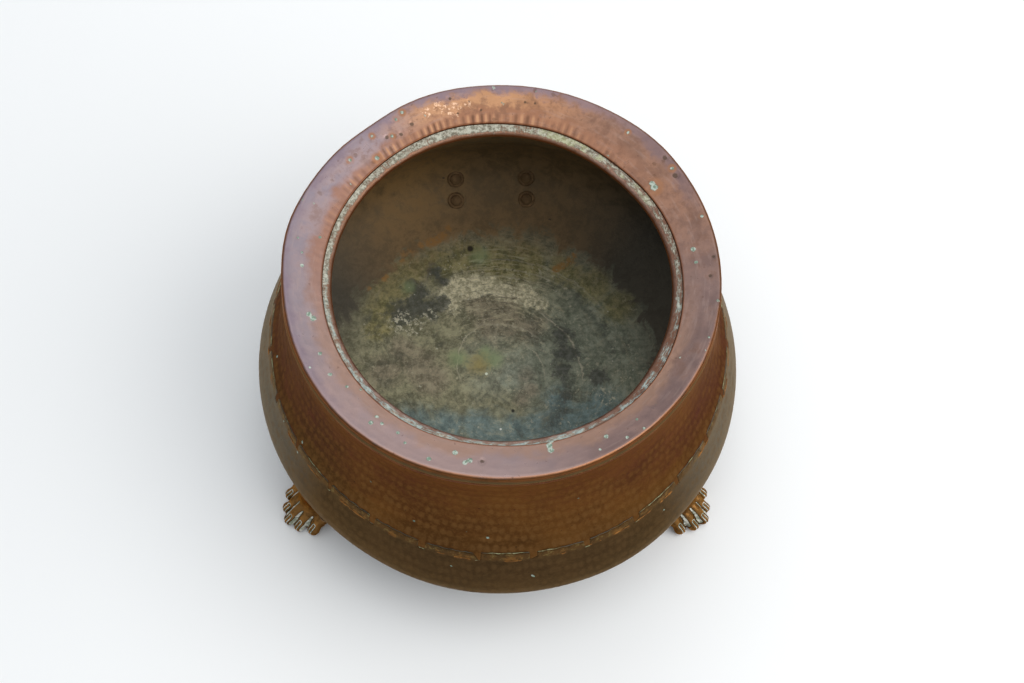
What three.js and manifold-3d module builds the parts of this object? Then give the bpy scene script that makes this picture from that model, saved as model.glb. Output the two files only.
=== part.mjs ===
// A round-bellied copper cauldron with a broad in-turned rim, standing on three cast paw feet.
// Millimetres, +Z up. A depth is measured down from the crown of the rim.
// An azimuth is measured about the pot's axis from the front (-Y), growing towards the right (+X).
import * as THREE from 'three';
import { mergeVertices } from 'three/addons/utils/BufferGeometryUtils.js';
import Module from 'manifold-3d';

const wasm = await Module();
wasm.setup();

// Driving dimensions of the whole pot
const TOTAL_HEIGHT = 285;
const RIM_RADIUS = 183.5;
const BELLY_RADIUS = 225;
const BELLY_DEPTH = 186;
const BOWL_DEPTH = 246;

// Sheet copper and the clearance that soldered or riveted pieces keep
const SHEET = 1.5;
const CLEARANCE = 0.3;

// Handles of the curves that shape the wall above and below the belly
const NECK_HANDLE = 91;
const NECK_FLARE = 1;
const SHOULDER_HANDLE = 33;
const BELLY_HANDLE = 50;
const FLOOR_HANDLE = 130;

// Rim flange: a rounded outer corner, a down-turned skirt and a plate that falls towards the mouth
const SKIRT_DEPTH = 16;
const CORNER_RADIUS = 3.5;
const FLANGE_SLOPE = THREE.MathUtils.degToRad(14.5);
const NECK_TOP_BELOW_CORNER = 1;

// Mouth: a strip soldered under the flange, its inner edge rolled round a wire, off centre to the front
const MOUTH_OFFSET = 3.9;
const MOUTH_SHEET = 1.2;
const MOUTH_TONGUE = 8;
const MOUTH_WIRE_RADIUS = 2.2;
const MOUTH_RADIUS = 143;
const MOUTH_LIP_WIDTH = 7.5;
const FLANGE_INNER_RADIUS = MOUTH_RADIUS + MOUTH_LIP_WIDTH;
const ROLL_START = Math.PI / 2 + FLANGE_SLOPE;
const ROLL_END = THREE.MathUtils.degToRad(330);
const ROLL_STEPS = 6;
const WIRE_SIDES = 6;

// Seam: the bowl's upper edge is cut into tabs that lap outside the upper body
const SEAM_DEPTH = 137.5;
const TAB_HEIGHT = 9;
const TAB_COUNT = 27;
const SLOT_WIDTH = 6;
const FIRST_SLOT_AZIMUTH = THREE.MathUtils.degToRad(-1.3);
const LAP_BELOW_SEAM = 5;

// Cast feet: where they stand, and the paw's own sizes
const FOOT_AZIMUTHS = { left: -52.5, right: 61.5, rear: 186 };
const FOOT_PROUD = 19;
const FOOT_REACH = BELLY_RADIUS + FOOT_PROUD;
const TOE_RADIUS = 6.2;
const TOE_PITCH = 10.4;
const OUTER_TOE_SETBACK = 13.5;
const TOE_SETBACKS = [1, 1 / 3, 0, 1 / 3, 1].map((share) => share * OUTER_TOE_SETBACK);
const TOE_LENGTH = 22;
const TOE_PITCH_ANGLE = THREE.MathUtils.degToRad(37);
const TOE_FAN = THREE.MathUtils.degToRad(4);
const TOE_CAP_STEPS = 2;
const TOE_SIDES = 8;
const ANKLE_WIDTH = 32;
const LEG_SIDES = 12;

// Leg sections from the floor up. The height is a share of the height at which the bowl sits on the foot.
// The half sizes, and how far the centre lies inside the foot's reach, are shares of the ankle's width.
const LEG_SECTIONS = [
  { height: -0.03, inside: 0.97, halfLength: 0.625, halfWidth: 0.66 },
  { height: 0.125, inside: 0.94, halfLength: 0.66, halfWidth: 0.69 },
  { height: 0.29, inside: 1.03, halfLength: 0.5, halfWidth: 0.61 },
  { height: 0.47, inside: 1.16, halfLength: 0.39, halfWidth: 0.5 },
  { height: 0.66, inside: 1.17, halfLength: 0.41, halfWidth: 0.55 },
  { height: 0.86, inside: 1.2, halfLength: 0.42, halfWidth: 0.72 },
  { height: 1.15, inside: 1.25, halfLength: 0.5, halfWidth: 0.95 },
];

// Saddle plate of a foot, under the bowl, and its four rivets in two rows
const PLATE_WIDTH = 96;
const PLATE_LENGTH = 40;
const PLATE_CORNER = 15;
const PLATE_THICKNESS = 4;
const PLATE_CORNER_STEPS = 3;
const RIVET_SPREAD = 36;
const RIVET_ROWS = [0.21, 0.34];
const SHANK_RADIUS = 4;
const RIVET_SIDES = 8;
const OUTER_HEAD_RADIUS = 7.5;
const OUTER_HEAD_HEIGHT = 2.6;
const INNER_HEAD_RADIUS = 5.8;
const INNER_HEAD_HEIGHT = 2;
const ROVE_RADIUS = 8.6;
const ROVE_THICKNESS = 1.8;
const HEAD_CLEARANCE = 0.5;

// Where a rivet head or rove bends over, as shares of its own radius and height
const INNER_HEAD_BEND = { radius: 0.75, height: 0.85 };
const OUTER_HEAD_BEND = { radius: 0.7, height: 0.8 };
const ROVE_BEND = { radius: 0.9, height: 0.4 };

// Number of flats round the pot, shared by every revolved piece so that their facets lie parallel
const ROUND_SEGMENTS = 48;

// Steps along the neck, the belly and the rim's corner, and the floor's stations along its curve
const NECK_STEPS = 4;
const BELLY_STEPS = 3;
const CORNER_STEPS = 5;
const FLOOR_STATIONS = [0.09, 0.18, 0.31, 0.45, 0.65, 1];

// A foot is made with its toes towards +X, while the revolved shells start at the front
const QUARTER_TURN_DEGREES = 90;

// Materials: colour, roughness and metalness of each piece
const FINISH = {
  rimCopper: { color: 0x8a5444, roughness: 0.45, metalness: 0.85 },
  bodyCopper: { color: 0x6b3a22, roughness: 0.5, metalness: 0.8 },
  bowlCopper: { color: 0x4a3826, roughness: 0.55, metalness: 0.75 },
  solderedEdge: { color: 0x8f8a78, roughness: 0.7, metalness: 0.5 },
  ironWire: { color: 0x4d4844, roughness: 0.8, metalness: 0.6 },
  castBrass: { color: 0x7a5a2c, roughness: 0.42, metalness: 0.85 },
  rivetCopper: { color: 0x6a4a34, roughness: 0.55, metalness: 0.8 },
};

// The wall's outer outline: a neck that flares down to the belly, and a shallow round bowl below it
const shoulderCurve = new THREE.CubicBezierCurve(
  new THREE.Vector2(RIM_RADIUS, SKIRT_DEPTH),
  new THREE.Vector2(RIM_RADIUS + NECK_FLARE, SKIRT_DEPTH + NECK_HANDLE),
  new THREE.Vector2(BELLY_RADIUS, BELLY_DEPTH - SHOULDER_HANDLE),
  new THREE.Vector2(BELLY_RADIUS, BELLY_DEPTH),
);
const bowlCurve = new THREE.CubicBezierCurve(
  new THREE.Vector2(BELLY_RADIUS, BELLY_DEPTH),
  new THREE.Vector2(BELLY_RADIUS, BELLY_DEPTH + BELLY_HANDLE),
  new THREE.Vector2(FLOOR_HANDLE, BOWL_DEPTH),
  new THREE.Vector2(0, BOWL_DEPTH),
);

// A point of a wall curve moved inwards along its normal, as radius and height above the floor
function wallPoint(curve, t, inset) {
  const point = curve.getPoint(t);
  const tangent = curve.getTangent(t);
  return new THREE.Vector2(point.x - tangent.y * inset, TOTAL_HEIGHT - point.y - tangent.x * inset);
}

// The parameter at which the shoulder curve reaches a depth, found by halving
function shoulderAt(depth) {
  let low = 0;
  let high = 1;
  while (high - low > Number.EPSILON * TOTAL_HEIGHT) {
    const middle = (low + high) / 2;
    if (shoulderCurve.getPoint(middle).y < depth) low = middle;
    else high = middle;
  }
  return low;
}

// Evenly spaced values from one end to the other, both included
function spread(from, to, steps) {
  return Array.from({ length: steps + 1 }, (_, i) => from + ((to - from) * i) / steps);
}

// Turns a closed outline of (radius, height) about the vertical axis, front first
function revolve(outline, segments = ROUND_SEGMENTS) {
  const closed = outline[0].x > 0 ? [...outline, outline[0]] : outline;
  return weld(new THREE.LatheGeometry(closed, segments).rotateX(Math.PI / 2));
}

// Joins equal corners and drops the flat triangles that a lathe leaves on its axis
function weld(geometry) {
  geometry.deleteAttribute('normal');
  geometry.deleteAttribute('uv');
  const merged = mergeVertices(geometry);
  const corners = merged.getIndex().array;
  const kept = [];
  for (let i = 0; i < corners.length; i += 3) {
    const [a, b, c] = corners.slice(i, i + 3);
    if (a !== b && b !== c && c !== a) kept.push(a, b, c);
  }
  merged.setIndex(kept);
  return merged;
}

function solidOf(geometry) {
  const welded = weld(geometry.clone());
  return new wasm.Manifold(new wasm.Mesh({
    numProp: 3,
    vertProperties: Float32Array.from(welded.getAttribute('position').array),
    triVerts: Uint32Array.from(welded.getIndex().array),
  }));
}

function geometryOf(solid) {
  const mesh = solid.getMesh();
  const geometry = new THREE.BufferGeometry();
  geometry.setAttribute('position', new THREE.BufferAttribute(mesh.vertProperties, 3));
  geometry.setIndex(new THREE.BufferAttribute(mesh.triVerts, 1));
  return geometry;
}

// The mouth lies off centre, so the flange is drawn across from its crown to its inner edge
function leanToMouth(geometry) {
  const crownRadius = RIM_RADIUS - CORNER_RADIUS;
  const position = geometry.getAttribute('position');
  for (let i = 0; i < position.count; i += 1) {
    const radius = Math.hypot(position.getX(i), position.getY(i));
    const share = (crownRadius - radius) / (crownRadius - FLANGE_INNER_RADIUS);
    position.setY(i, position.getY(i) - MOUTH_OFFSET * THREE.MathUtils.clamp(share, 0, 1));
  }
  return geometry;
}

// Upper body: the neck and shoulder, from under the rim's corner to the end of the lap in the bowl
function upperBodyOutline() {
  const inset = SHEET + CLEARANCE;
  const neckTop = TOTAL_HEIGHT - CORNER_RADIUS - NECK_TOP_BELOW_CORNER;
  const stations = [
    ...spread(0, shoulderAt(SEAM_DEPTH - TAB_HEIGHT), NECK_STEPS),
    shoulderAt(SEAM_DEPTH),
    shoulderAt(SEAM_DEPTH + LAP_BELOW_SEAM),
  ];
  const outside = stations.map((t) => wallPoint(shoulderCurve, t, inset)).reverse();
  const inside = stations.map((t) => wallPoint(shoulderCurve, t, inset + SHEET));
  return [
    ...outside,
    new THREE.Vector2(outside.at(-1).x, neckTop),
    new THREE.Vector2(inside[0].x, neckTop),
    ...inside,
  ];
}

// Lower bowl: one sheet from the tops of the tabs, round the belly, to the middle of the floor
function bowlSurface(inset) {
  const sides = [
    shoulderAt(SEAM_DEPTH - TAB_HEIGHT),
    shoulderAt(SEAM_DEPTH),
    shoulderAt(SEAM_DEPTH + LAP_BELOW_SEAM),
    ...spread(shoulderAt(SEAM_DEPTH + LAP_BELOW_SEAM), 1, BELLY_STEPS).slice(1),
  ].map((t) => wallPoint(shoulderCurve, t, inset));
  const floor = FLOOR_STATIONS.map((t) => wallPoint(bowlCurve, t, inset));
  floor.at(-1).x = 0;
  return [...sides, ...floor];
}

function lowerBowl() {
  let bowl = solidOf(revolve([...bowlSurface(0).reverse(), ...bowlSurface(SHEET)]));
  const slotTop = TOTAL_HEIGHT - SEAM_DEPTH + TAB_HEIGHT;
  for (let i = 0; i < TAB_COUNT; i += 1) {
    const slot = new THREE.BoxGeometry(SLOT_WIDTH, RIM_RADIUS / 2, TAB_HEIGHT * 2);
    slot.translate(0, -BELLY_RADIUS, slotTop);
    slot.rotateZ(FIRST_SLOT_AZIMUTH + (i / TAB_COUNT) * Math.PI * 2);
    bowl = bowl.subtract(solidOf(slot));
  }
  for (const rivet of rivetPlaces) bowl = bowl.subtract(shankHole(rivet));
  return geometryOf(bowl);
}

// Rim flange: one sheet over a path that rises up the skirt, rounds the corner and falls to the mouth
function flangeSurface(inset) {
  const centreRadius = RIM_RADIUS - CORNER_RADIUS;
  const centreHeight = TOTAL_HEIGHT - CORNER_RADIUS;
  const radius = CORNER_RADIUS - inset;
  const corner = spread(0, ROLL_START, CORNER_STEPS).map((angle) => new THREE.Vector2(
    centreRadius + radius * Math.cos(angle),
    centreHeight + radius * Math.sin(angle),
  ));
  return [
    new THREE.Vector2(RIM_RADIUS - inset, TOTAL_HEIGHT - SKIRT_DEPTH),
    ...corner,
    flangePoint(FLANGE_INNER_RADIUS, inset),
  ];
}

// A point of the flange's falling plate at a radius, a distance under its upper face
function flangePoint(radius, inset) {
  const start = new THREE.Vector2(
    RIM_RADIUS - CORNER_RADIUS + (CORNER_RADIUS - inset) * Math.cos(ROLL_START),
    TOTAL_HEIGHT - CORNER_RADIUS + (CORNER_RADIUS - inset) * Math.sin(ROLL_START),
  );
  return new THREE.Vector2(radius, start.y - (start.x - radius) * Math.tan(FLANGE_SLOPE));
}

// Mouth roll: its centre lies so that the strip under the flange runs tangent into it
const rollRadius = MOUTH_SHEET + CLEARANCE + MOUTH_WIRE_RADIUS;
const rollCentre = flangePoint(MOUTH_RADIUS + rollRadius, SHEET + CLEARANCE + rollRadius);

function mouthSurface(inset) {
  const tongueInset = SHEET + CLEARANCE + inset;
  const radius = rollRadius - inset;
  const roll = spread(ROLL_START, ROLL_END, ROLL_STEPS).map((angle) => new THREE.Vector2(
    rollCentre.x + radius * Math.cos(angle),
    rollCentre.y + radius * Math.sin(angle),
  ));
  return [flangePoint(FLANGE_INNER_RADIUS + MOUTH_TONGUE, tongueInset), ...roll];
}

function mouthWireOutline() {
  return spread(0, Math.PI * 2, WIRE_SIDES).slice(0, WIRE_SIDES).map((angle) => new THREE.Vector2(
    rollCentre.x + MOUTH_WIRE_RADIUS * Math.cos(angle),
    rollCentre.y + MOUTH_WIRE_RADIUS * Math.sin(angle),
  ));
}

// Rivet places: for each foot two rows of two, each along the bowl's own normal there
const rivetPlaces = [];
for (const [side, azimuth] of Object.entries(FOOT_AZIMUTHS)) {
  let number = 1;
  for (const t of RIVET_ROWS) {
    const seat = wallPoint(bowlCurve, t, 0);
    const tangent = bowlCurve.getTangent(t);
    for (const direction of [-1, 1]) {
      const turn = THREE.MathUtils.degToRad(azimuth) + direction * Math.asin(RIVET_SPREAD / seat.x);
      const outward = new THREE.Vector3(Math.sin(turn), -Math.cos(turn), 0);
      const normal = outward.clone().multiplyScalar(tangent.y).setZ(tangent.x);
      const point = outward.clone().multiplyScalar(seat.x).setZ(seat.y);
      rivetPlaces.push({ side, number, point, normal });
      number += 1;
    }
  }
}

// Brings a shape turned about +Z, with its base at the wall's outer face, to a rivet's place
function seatOnWall(geometry, rivet) {
  const turn = new THREE.Quaternion().setFromUnitVectors(new THREE.Vector3(0, 0, 1), rivet.normal);
  return geometry.applyQuaternion(turn).translate(...rivet.point.toArray());
}

function shankHole(rivet) {
  const radius = SHANK_RADIUS + CLEARANCE;
  const length = BELLY_RADIUS / 4;
  const bore = new THREE.CylinderGeometry(radius, radius, length, RIVET_SIDES).rotateX(Math.PI / 2);
  return solidOf(seatOnWall(bore, rivet));
}

// Rivet: shank, low round outer head on the plate and a flatter hammered head inside the pot
function rivetGeometry(rivet) {
  const plateFace = CLEARANCE + PLATE_THICKNESS + HEAD_CLEARANCE;
  const roveFace = -SHEET - CLEARANCE - ROVE_THICKNESS - HEAD_CLEARANCE;
  const outline = [
    new THREE.Vector2(0, roveFace - INNER_HEAD_HEIGHT),
    new THREE.Vector2(
      INNER_HEAD_RADIUS * INNER_HEAD_BEND.radius,
      roveFace - INNER_HEAD_HEIGHT * INNER_HEAD_BEND.height,
    ),
    new THREE.Vector2(INNER_HEAD_RADIUS, roveFace),
    new THREE.Vector2(SHANK_RADIUS, roveFace),
    new THREE.Vector2(SHANK_RADIUS, plateFace),
    new THREE.Vector2(OUTER_HEAD_RADIUS, plateFace),
    new THREE.Vector2(
      OUTER_HEAD_RADIUS * OUTER_HEAD_BEND.radius,
      plateFace + OUTER_HEAD_HEIGHT * OUTER_HEAD_BEND.height,
    ),
    new THREE.Vector2(0, plateFace + OUTER_HEAD_HEIGHT),
  ];
  return seatOnWall(revolve(outline, RIVET_SIDES), rivet);
}

// Rove: the ring under a rivet's inner head, its underside shaped to the inside of the bowl
function roveGeometry(rivet) {
  const top = -SHEET - CLEARANCE - ROVE_THICKNESS;
  const bottom = 0;
  const hole = SHANK_RADIUS + CLEARANCE;
  const outline = [
    new THREE.Vector2(hole, top),
    new THREE.Vector2(ROVE_RADIUS * ROVE_BEND.radius, top),
    new THREE.Vector2(ROVE_RADIUS, top + ROVE_THICKNESS * ROVE_BEND.height),
    new THREE.Vector2(ROVE_RADIUS, bottom),
    new THREE.Vector2(hole, bottom),
  ];
  const blank = solidOf(seatOnWall(revolve(outline, RIVET_SIDES), rivet));
  return geometryOf(blank.subtract(bowlWall));
}

// The bowl's wall with its clearance on the inside, thick enough to cut a rove's underside
const bowlWall = solidOf(revolve([
  ...bowlSurface(-PLATE_THICKNESS).reverse(),
  ...bowlSurface(SHEET + CLEARANCE),
]));

// Everything inside the bowl's outer face and its clearance, which a foot must leave free
const bowlSpace = solidOf(revolve([
  ...bowlSurface(-CLEARANCE).reverse(),
  new THREE.Vector2(0, TOTAL_HEIGHT),
]));

// Where the middle of the saddle plate meets the bowl, as radius and height, and the bowl's tangent there
const seatPlace = (RIVET_ROWS[0] + RIVET_ROWS[1]) / 2;
const seatPoint = wallPoint(bowlCurve, seatPlace, 0);
const seatTangent = bowlCurve.getTangent(seatPlace);

// A closed body through level oval sections, from the lowest to the highest
function legGeometry() {
  const centres = LEG_SECTIONS.map((section) => new THREE.Vector3(
    FOOT_REACH - section.inside * ANKLE_WIDTH,
    0,
    section.height * seatPoint.y,
  ));
  const rings = LEG_SECTIONS.map((section, i) => spread(0, Math.PI * 2, LEG_SIDES).slice(0, LEG_SIDES)
    .map((angle) => [
      centres[i].x + section.halfLength * ANKLE_WIDTH * Math.cos(angle),
      section.halfWidth * ANKLE_WIDTH * Math.sin(angle),
      centres[i].z,
    ]));
  const last = rings.length - 1;
  const caps = [0, last].map((i) => centres[i].toArray());
  const positions = [...rings.flat(), ...caps].flat();
  const lowest = rings.length * LEG_SIDES;
  const index = [];
  for (let side = 0; side < LEG_SIDES; side += 1) {
    const next = (side + 1) % LEG_SIDES;
    index.push(lowest, next, side);
    index.push(lowest + 1, last * LEG_SIDES + side, last * LEG_SIDES + next);
    for (let ring = 0; ring < last; ring += 1) {
      const below = ring * LEG_SIDES;
      const above = below + LEG_SIDES;
      index.push(below + side, below + next, above + next);
      index.push(below + side, above + next, above + side);
    }
  }
  const geometry = new THREE.BufferGeometry();
  geometry.setAttribute('position', new THREE.Float32BufferAttribute(positions, 3));
  geometry.setIndex(index);
  return geometry;
}

// One toe: a round-ended bar that falls forwards, its tip set back from the foot's reach
function toeGeometry(place) {
  const middle = (TOE_SETBACKS.length - 1) / 2;
  const toe = new THREE.CapsuleGeometry(TOE_RADIUS, TOE_LENGTH, TOE_CAP_STEPS, TOE_SIDES);
  toe.rotateZ(Math.PI / 2);
  toe.translate(-TOE_LENGTH / 2, 0, 0);
  toe.rotateY(TOE_PITCH_ANGLE);
  toe.rotateZ((place - middle) * TOE_FAN);
  toe.translate(FOOT_REACH - TOE_SETBACKS[place] - TOE_RADIUS, (place - middle) * TOE_PITCH, TOE_RADIUS);
  return toe;
}

// Saddle plate: a curved shell under the bowl, cut to a rounded oblong seen along its own normal
function plateSolid() {
  const shell = solidOf(revolve([
    ...bowlSurface(-CLEARANCE - PLATE_THICKNESS).reverse(),
    ...bowlSurface(0),
  ]));
  const halfWidth = PLATE_WIDTH / 2 - PLATE_CORNER;
  const halfLength = PLATE_LENGTH / 2 - PLATE_CORNER;
  const shape = new THREE.Shape();
  shape.absarc(halfWidth, halfLength, PLATE_CORNER, 0, Math.PI / 2);
  shape.absarc(-halfWidth, halfLength, PLATE_CORNER, Math.PI / 2, Math.PI);
  shape.absarc(-halfWidth, -halfLength, PLATE_CORNER, Math.PI, Math.PI * 1.5);
  shape.absarc(halfWidth, -halfLength, PLATE_CORNER, Math.PI * 1.5, Math.PI * 2);
  const depth = PLATE_WIDTH / 2;
  const cutter = new THREE.ExtrudeGeometry(shape, {
    depth,
    bevelEnabled: false,
    curveSegments: PLATE_CORNER_STEPS,
  });
  cutter.translate(0, 0, -depth / 2);
  const across = new THREE.Vector3(0, 1, 0);
  const normal = new THREE.Vector3(seatTangent.y, 0, seatTangent.x);
  const along = new THREE.Vector3().crossVectors(normal, across);
  cutter.applyMatrix4(new THREE.Matrix4().makeBasis(across, along, normal));
  cutter.translate(seatPoint.x, 0, seatPoint.y);
  return shell.rotate([0, 0, QUARTER_TURN_DEGREES]).intersect(solidOf(cutter));
}

function footGeometry(side) {
  const azimuth = FOOT_AZIMUTHS[side];
  let foot = solidOf(legGeometry()).add(plateSolid());
  for (let place = 0; place < TOE_SETBACKS.length; place += 1) {
    foot = foot.add(solidOf(toeGeometry(place)));
  }
  const belowFloor = new THREE.BoxGeometry(FOOT_REACH, FOOT_REACH, TOE_RADIUS * 4);
  belowFloor.translate(FOOT_REACH, 0, -TOE_RADIUS * 2);
  foot = foot.subtract(solidOf(belowFloor)).rotate([0, 0, azimuth - QUARTER_TURN_DEGREES]);
  foot = foot.subtract(bowlSpace);
  for (const rivet of rivetPlaces.filter((place) => place.side === side)) {
    foot = foot.subtract(shankHole(rivet));
  }
  return geometryOf(foot);
}

const cauldron = new THREE.Group();

function addPiece(name, geometry, finish) {
  const piece = new THREE.Mesh(geometry, new THREE.MeshStandardMaterial(finish));
  piece.name = name;
  cauldron.add(piece);
}

addPiece('upper_body', revolve(upperBodyOutline()), FINISH.bodyCopper);
addPiece('lower_bowl', lowerBowl(), FINISH.bowlCopper);
addPiece(
  'rim_flange',
  leanToMouth(revolve([...flangeSurface(0), ...flangeSurface(SHEET).reverse()])),
  FINISH.rimCopper,
);
addPiece(
  'mouth_ring',
  leanToMouth(revolve([...mouthSurface(0), ...mouthSurface(MOUTH_SHEET).reverse()])),
  FINISH.solderedEdge,
);
addPiece('mouth_wire', leanToMouth(revolve(mouthWireOutline())), FINISH.ironWire);
for (const side of Object.keys(FOOT_AZIMUTHS)) {
  addPiece(`foot_${side}`, footGeometry(side), FINISH.castBrass);
}
for (const rivet of rivetPlaces) {
  addPiece(`rivet_${rivet.side}_${rivet.number}`, rivetGeometry(rivet), FINISH.rivetCopper);
  addPiece(`rove_${rivet.side}_${rivet.number}`, roveGeometry(rivet), FINISH.rivetCopper);
}

// The origin is the middle of the floor that the whole pot covers
const box = new THREE.Box3().setFromObject(cauldron);
const middle = box.getCenter(new THREE.Vector3());
cauldron.position.set(-middle.x, -middle.y, -box.min.z);

export default cauldron;
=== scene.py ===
# %% [markdown]
# # A hammered copper cauldron
# The pot is raised from sheet copper: a neck and shoulder, a bowl whose edge is cut into tabs and lapped over
# the shoulder, and a broad rim that turns inwards over the mouth. It stands on three cast brass paws.
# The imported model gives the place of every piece. This file gives the pieces their hand-made surface.

# %% Load the frame
import math
from types import SimpleNamespace
import bmesh
import bpy
import numpy as np
from mathutils import Matrix, Vector


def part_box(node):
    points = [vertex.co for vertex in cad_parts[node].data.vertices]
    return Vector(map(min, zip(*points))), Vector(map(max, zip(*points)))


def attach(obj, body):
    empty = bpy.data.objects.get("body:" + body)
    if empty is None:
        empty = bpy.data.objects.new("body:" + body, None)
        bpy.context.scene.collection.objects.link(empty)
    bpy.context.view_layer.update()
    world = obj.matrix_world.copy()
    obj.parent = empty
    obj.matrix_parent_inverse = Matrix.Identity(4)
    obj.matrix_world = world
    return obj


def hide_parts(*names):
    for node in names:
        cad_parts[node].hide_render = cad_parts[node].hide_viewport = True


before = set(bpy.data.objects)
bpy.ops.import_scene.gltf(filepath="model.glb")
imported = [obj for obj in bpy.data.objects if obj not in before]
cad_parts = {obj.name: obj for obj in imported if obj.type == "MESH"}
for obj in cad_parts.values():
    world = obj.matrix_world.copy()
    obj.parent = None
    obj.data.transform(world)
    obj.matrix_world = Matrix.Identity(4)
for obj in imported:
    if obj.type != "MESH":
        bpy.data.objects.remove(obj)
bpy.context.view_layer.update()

# %% [markdown]
# ## Sizes
# All lengths are metres. The pot's own axis is found from the neck, because the rear foot reaches past the
# belly and moves the middle of the whole pot. A depth is measured down from the crown of the rim, and an
# azimuth is 0 at the front and grows to the right.

# %% Sizes of the pot
MM = 0.001
body_low, body_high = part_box("upper_body")
AXIS = Vector(((body_low.x + body_high.x) / 2, (body_low.y + body_high.y) / 2, 0))
TOTAL_HEIGHT = 285 * MM
RIM_RADIUS = 183.5 * MM
BELLY_RADIUS = 225 * MM
BELLY_DEPTH = 186 * MM
BOWL_DEPTH = 246 * MM
SHEET = 1.5 * MM
CLEARANCE = 0.3 * MM
SKIRT_DEPTH = 16 * MM
CORNER_RADIUS = 3.5 * MM
CROWN_RADIUS = RIM_RADIUS - CORNER_RADIUS
FLANGE_SLOPE = math.radians(14.5)
FLANGE_INNER_RADIUS = 150.5 * MM
MOUTH_OFFSET = 3.9 * MM
SEAM_DEPTH = 137.5 * MM
TAB_HEIGHT = 9 * MM
TAB_COUNT = 27
TAB_PITCH = 2 * math.pi / TAB_COUNT
SLOT_WIDTH = 6 * MM
FIRST_SLOT = math.radians(-1.3)
print("pot axis", AXIS[:])

# %% [markdown]
# ## Camera
# The camera stands where the photograph's perspective puts it: high in front of the pot, 66 degrees above the
# rim. It comes first, because some stains of the rim are placed by where the photograph shows them.

# %% Camera
FOCAL_PIXELS = 1500
PHOTO_SIZE = Vector((1024, 683, 0))
SENSOR = 36
ELEVATION = math.radians(66.14)
ROLL = math.radians(-4.21)
RIM_CENTRE_PIXEL = Vector((503.2, 269.6, 0))
DISTANCE = 1.2469


def camera_axes():
    """The picture's directions to the right, down and away, in the pot's frame."""
    down = Vector((math.sin(ROLL) * math.cos(ELEVATION), math.cos(ROLL) * math.cos(ELEVATION),
                   math.sin(ELEVATION)))
    right = Vector((math.cos(ROLL), -math.sin(ROLL), 0))
    near = down.cross(right)
    if near.z > 0:
        near = -near
    return [Vector((right[k], -near[k], -down[k])) for k in range(3)]


def camera_place():
    """The camera's matrix, from its elevation over the rim, its roll and where the rim's centre is seen."""
    axes = camera_axes()
    shift = (RIM_CENTRE_PIXEL - PHOTO_SIZE / 2) / FOCAL_PIXELS
    to_rim = DISTANCE * (axes[0] * shift.x + axes[1] * shift.y + axes[2])
    place = Matrix((axes[0], -axes[1], -axes[2])).transposed().to_4x4()
    place.translation = AXIS + Vector((0, 0, TOTAL_HEIGHT)) - to_rim
    return place


camera_data = bpy.data.cameras.new("camera")
camera_data.sensor_width = SENSOR
camera_data.lens = FOCAL_PIXELS * SENSOR / PHOTO_SIZE.x
camera = bpy.data.objects.new("camera", camera_data)
bpy.context.scene.collection.objects.link(camera)
camera.matrix_world = camera_place()
bpy.context.scene.camera = camera
print("camera at", camera.matrix_world.translation[:])


# %% From a pixel to the rim
def flange_depth(radius):
    """Depth of the rim's plate at a radius from the pot's axis."""
    turn = math.pi / 2 + FLANGE_SLOPE
    start_radius = CROWN_RADIUS + CORNER_RADIUS * math.cos(turn)
    start_depth = CORNER_RADIUS * (1 - math.sin(turn))
    return start_depth + max(0, start_radius - radius) * math.tan(FLANGE_SLOPE)


def leaned(radius):
    """How far the rim is drawn forwards at a radius: the mouth lies a little in front of the pot's axis."""
    return MOUTH_OFFSET * np.clip((CROWN_RADIUS - radius) / (CROWN_RADIUS - FLANGE_INNER_RADIUS), 0, 1)


def on_flange(pixel):
    """The place on the rim's plate, as x and y from the pot's axis, that a pixel of the photograph shows."""
    axes = camera_axes()
    view = (Vector((*pixel, 0)) - PHOTO_SIZE / 2) / FOCAL_PIXELS
    ray = axes[0] * view.x + axes[1] * view.y + axes[2]
    start = camera.matrix_world.translation - AXIS
    height = TOTAL_HEIGHT
    for _ in range(6):
        place = start + ray * ((height - start.z) / ray.z)
        height = TOTAL_HEIGHT - flange_depth(math.hypot(place.x, place.y + MOUTH_OFFSET / 2))
    return place.x, place.y


print("rim stain test", on_flange((654, 187)))

# %% [markdown]
# ## The wall's outline
# Two smooth curves give the wall: the shoulder from the rim to the belly, and the bowl from the belly to the
# middle of the floor. No raised pot is truly round, so a few shallow bulges are added to the rim and the belly.

# %% Curves of the wall
SHOULDER = [(RIM_RADIUS, SKIRT_DEPTH), (RIM_RADIUS + 1 * MM, SKIRT_DEPTH + 91 * MM),
            (BELLY_RADIUS, BELLY_DEPTH - 33 * MM), (BELLY_RADIUS, BELLY_DEPTH)]
BOWL = [(BELLY_RADIUS, BELLY_DEPTH), (BELLY_RADIUS, BELLY_DEPTH + 50 * MM), (130 * MM, BOWL_DEPTH),
        (0, BOWL_DEPTH)]


def bezier(points, t):
    """Points of a cubic curve at the parameters t, as rows of (radius, depth)."""
    t = np.asarray(t, float)[:, None]
    a, b, c, d = (np.array(p) for p in points)
    return a * (1 - t) ** 3 + 3 * b * t * (1 - t) ** 2 + 3 * c * t * t * (1 - t) + d * t ** 3


def resample(path, spacing):
    """The same path with its points evenly spaced, about one spacing apart."""
    steps = np.hypot(*np.diff(path, axis=0).T)
    along = np.concatenate([[0], np.cumsum(steps)])
    count = max(2, int(round(along[-1] / spacing)) + 1)
    places = np.linspace(0, along[-1], count)
    return np.stack([np.interp(places, along, path[:, k]) for k in (0, 1)], axis=1)


def inset(path, distance):
    """The path moved to its right-hand side, which is inwards for a path that runs down the wall."""
    step = np.gradient(path, axis=0)
    step /= np.hypot(*step.T)[:, None]
    return path + np.stack([-step[:, 1], step[:, 0]], axis=1) * distance


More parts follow.
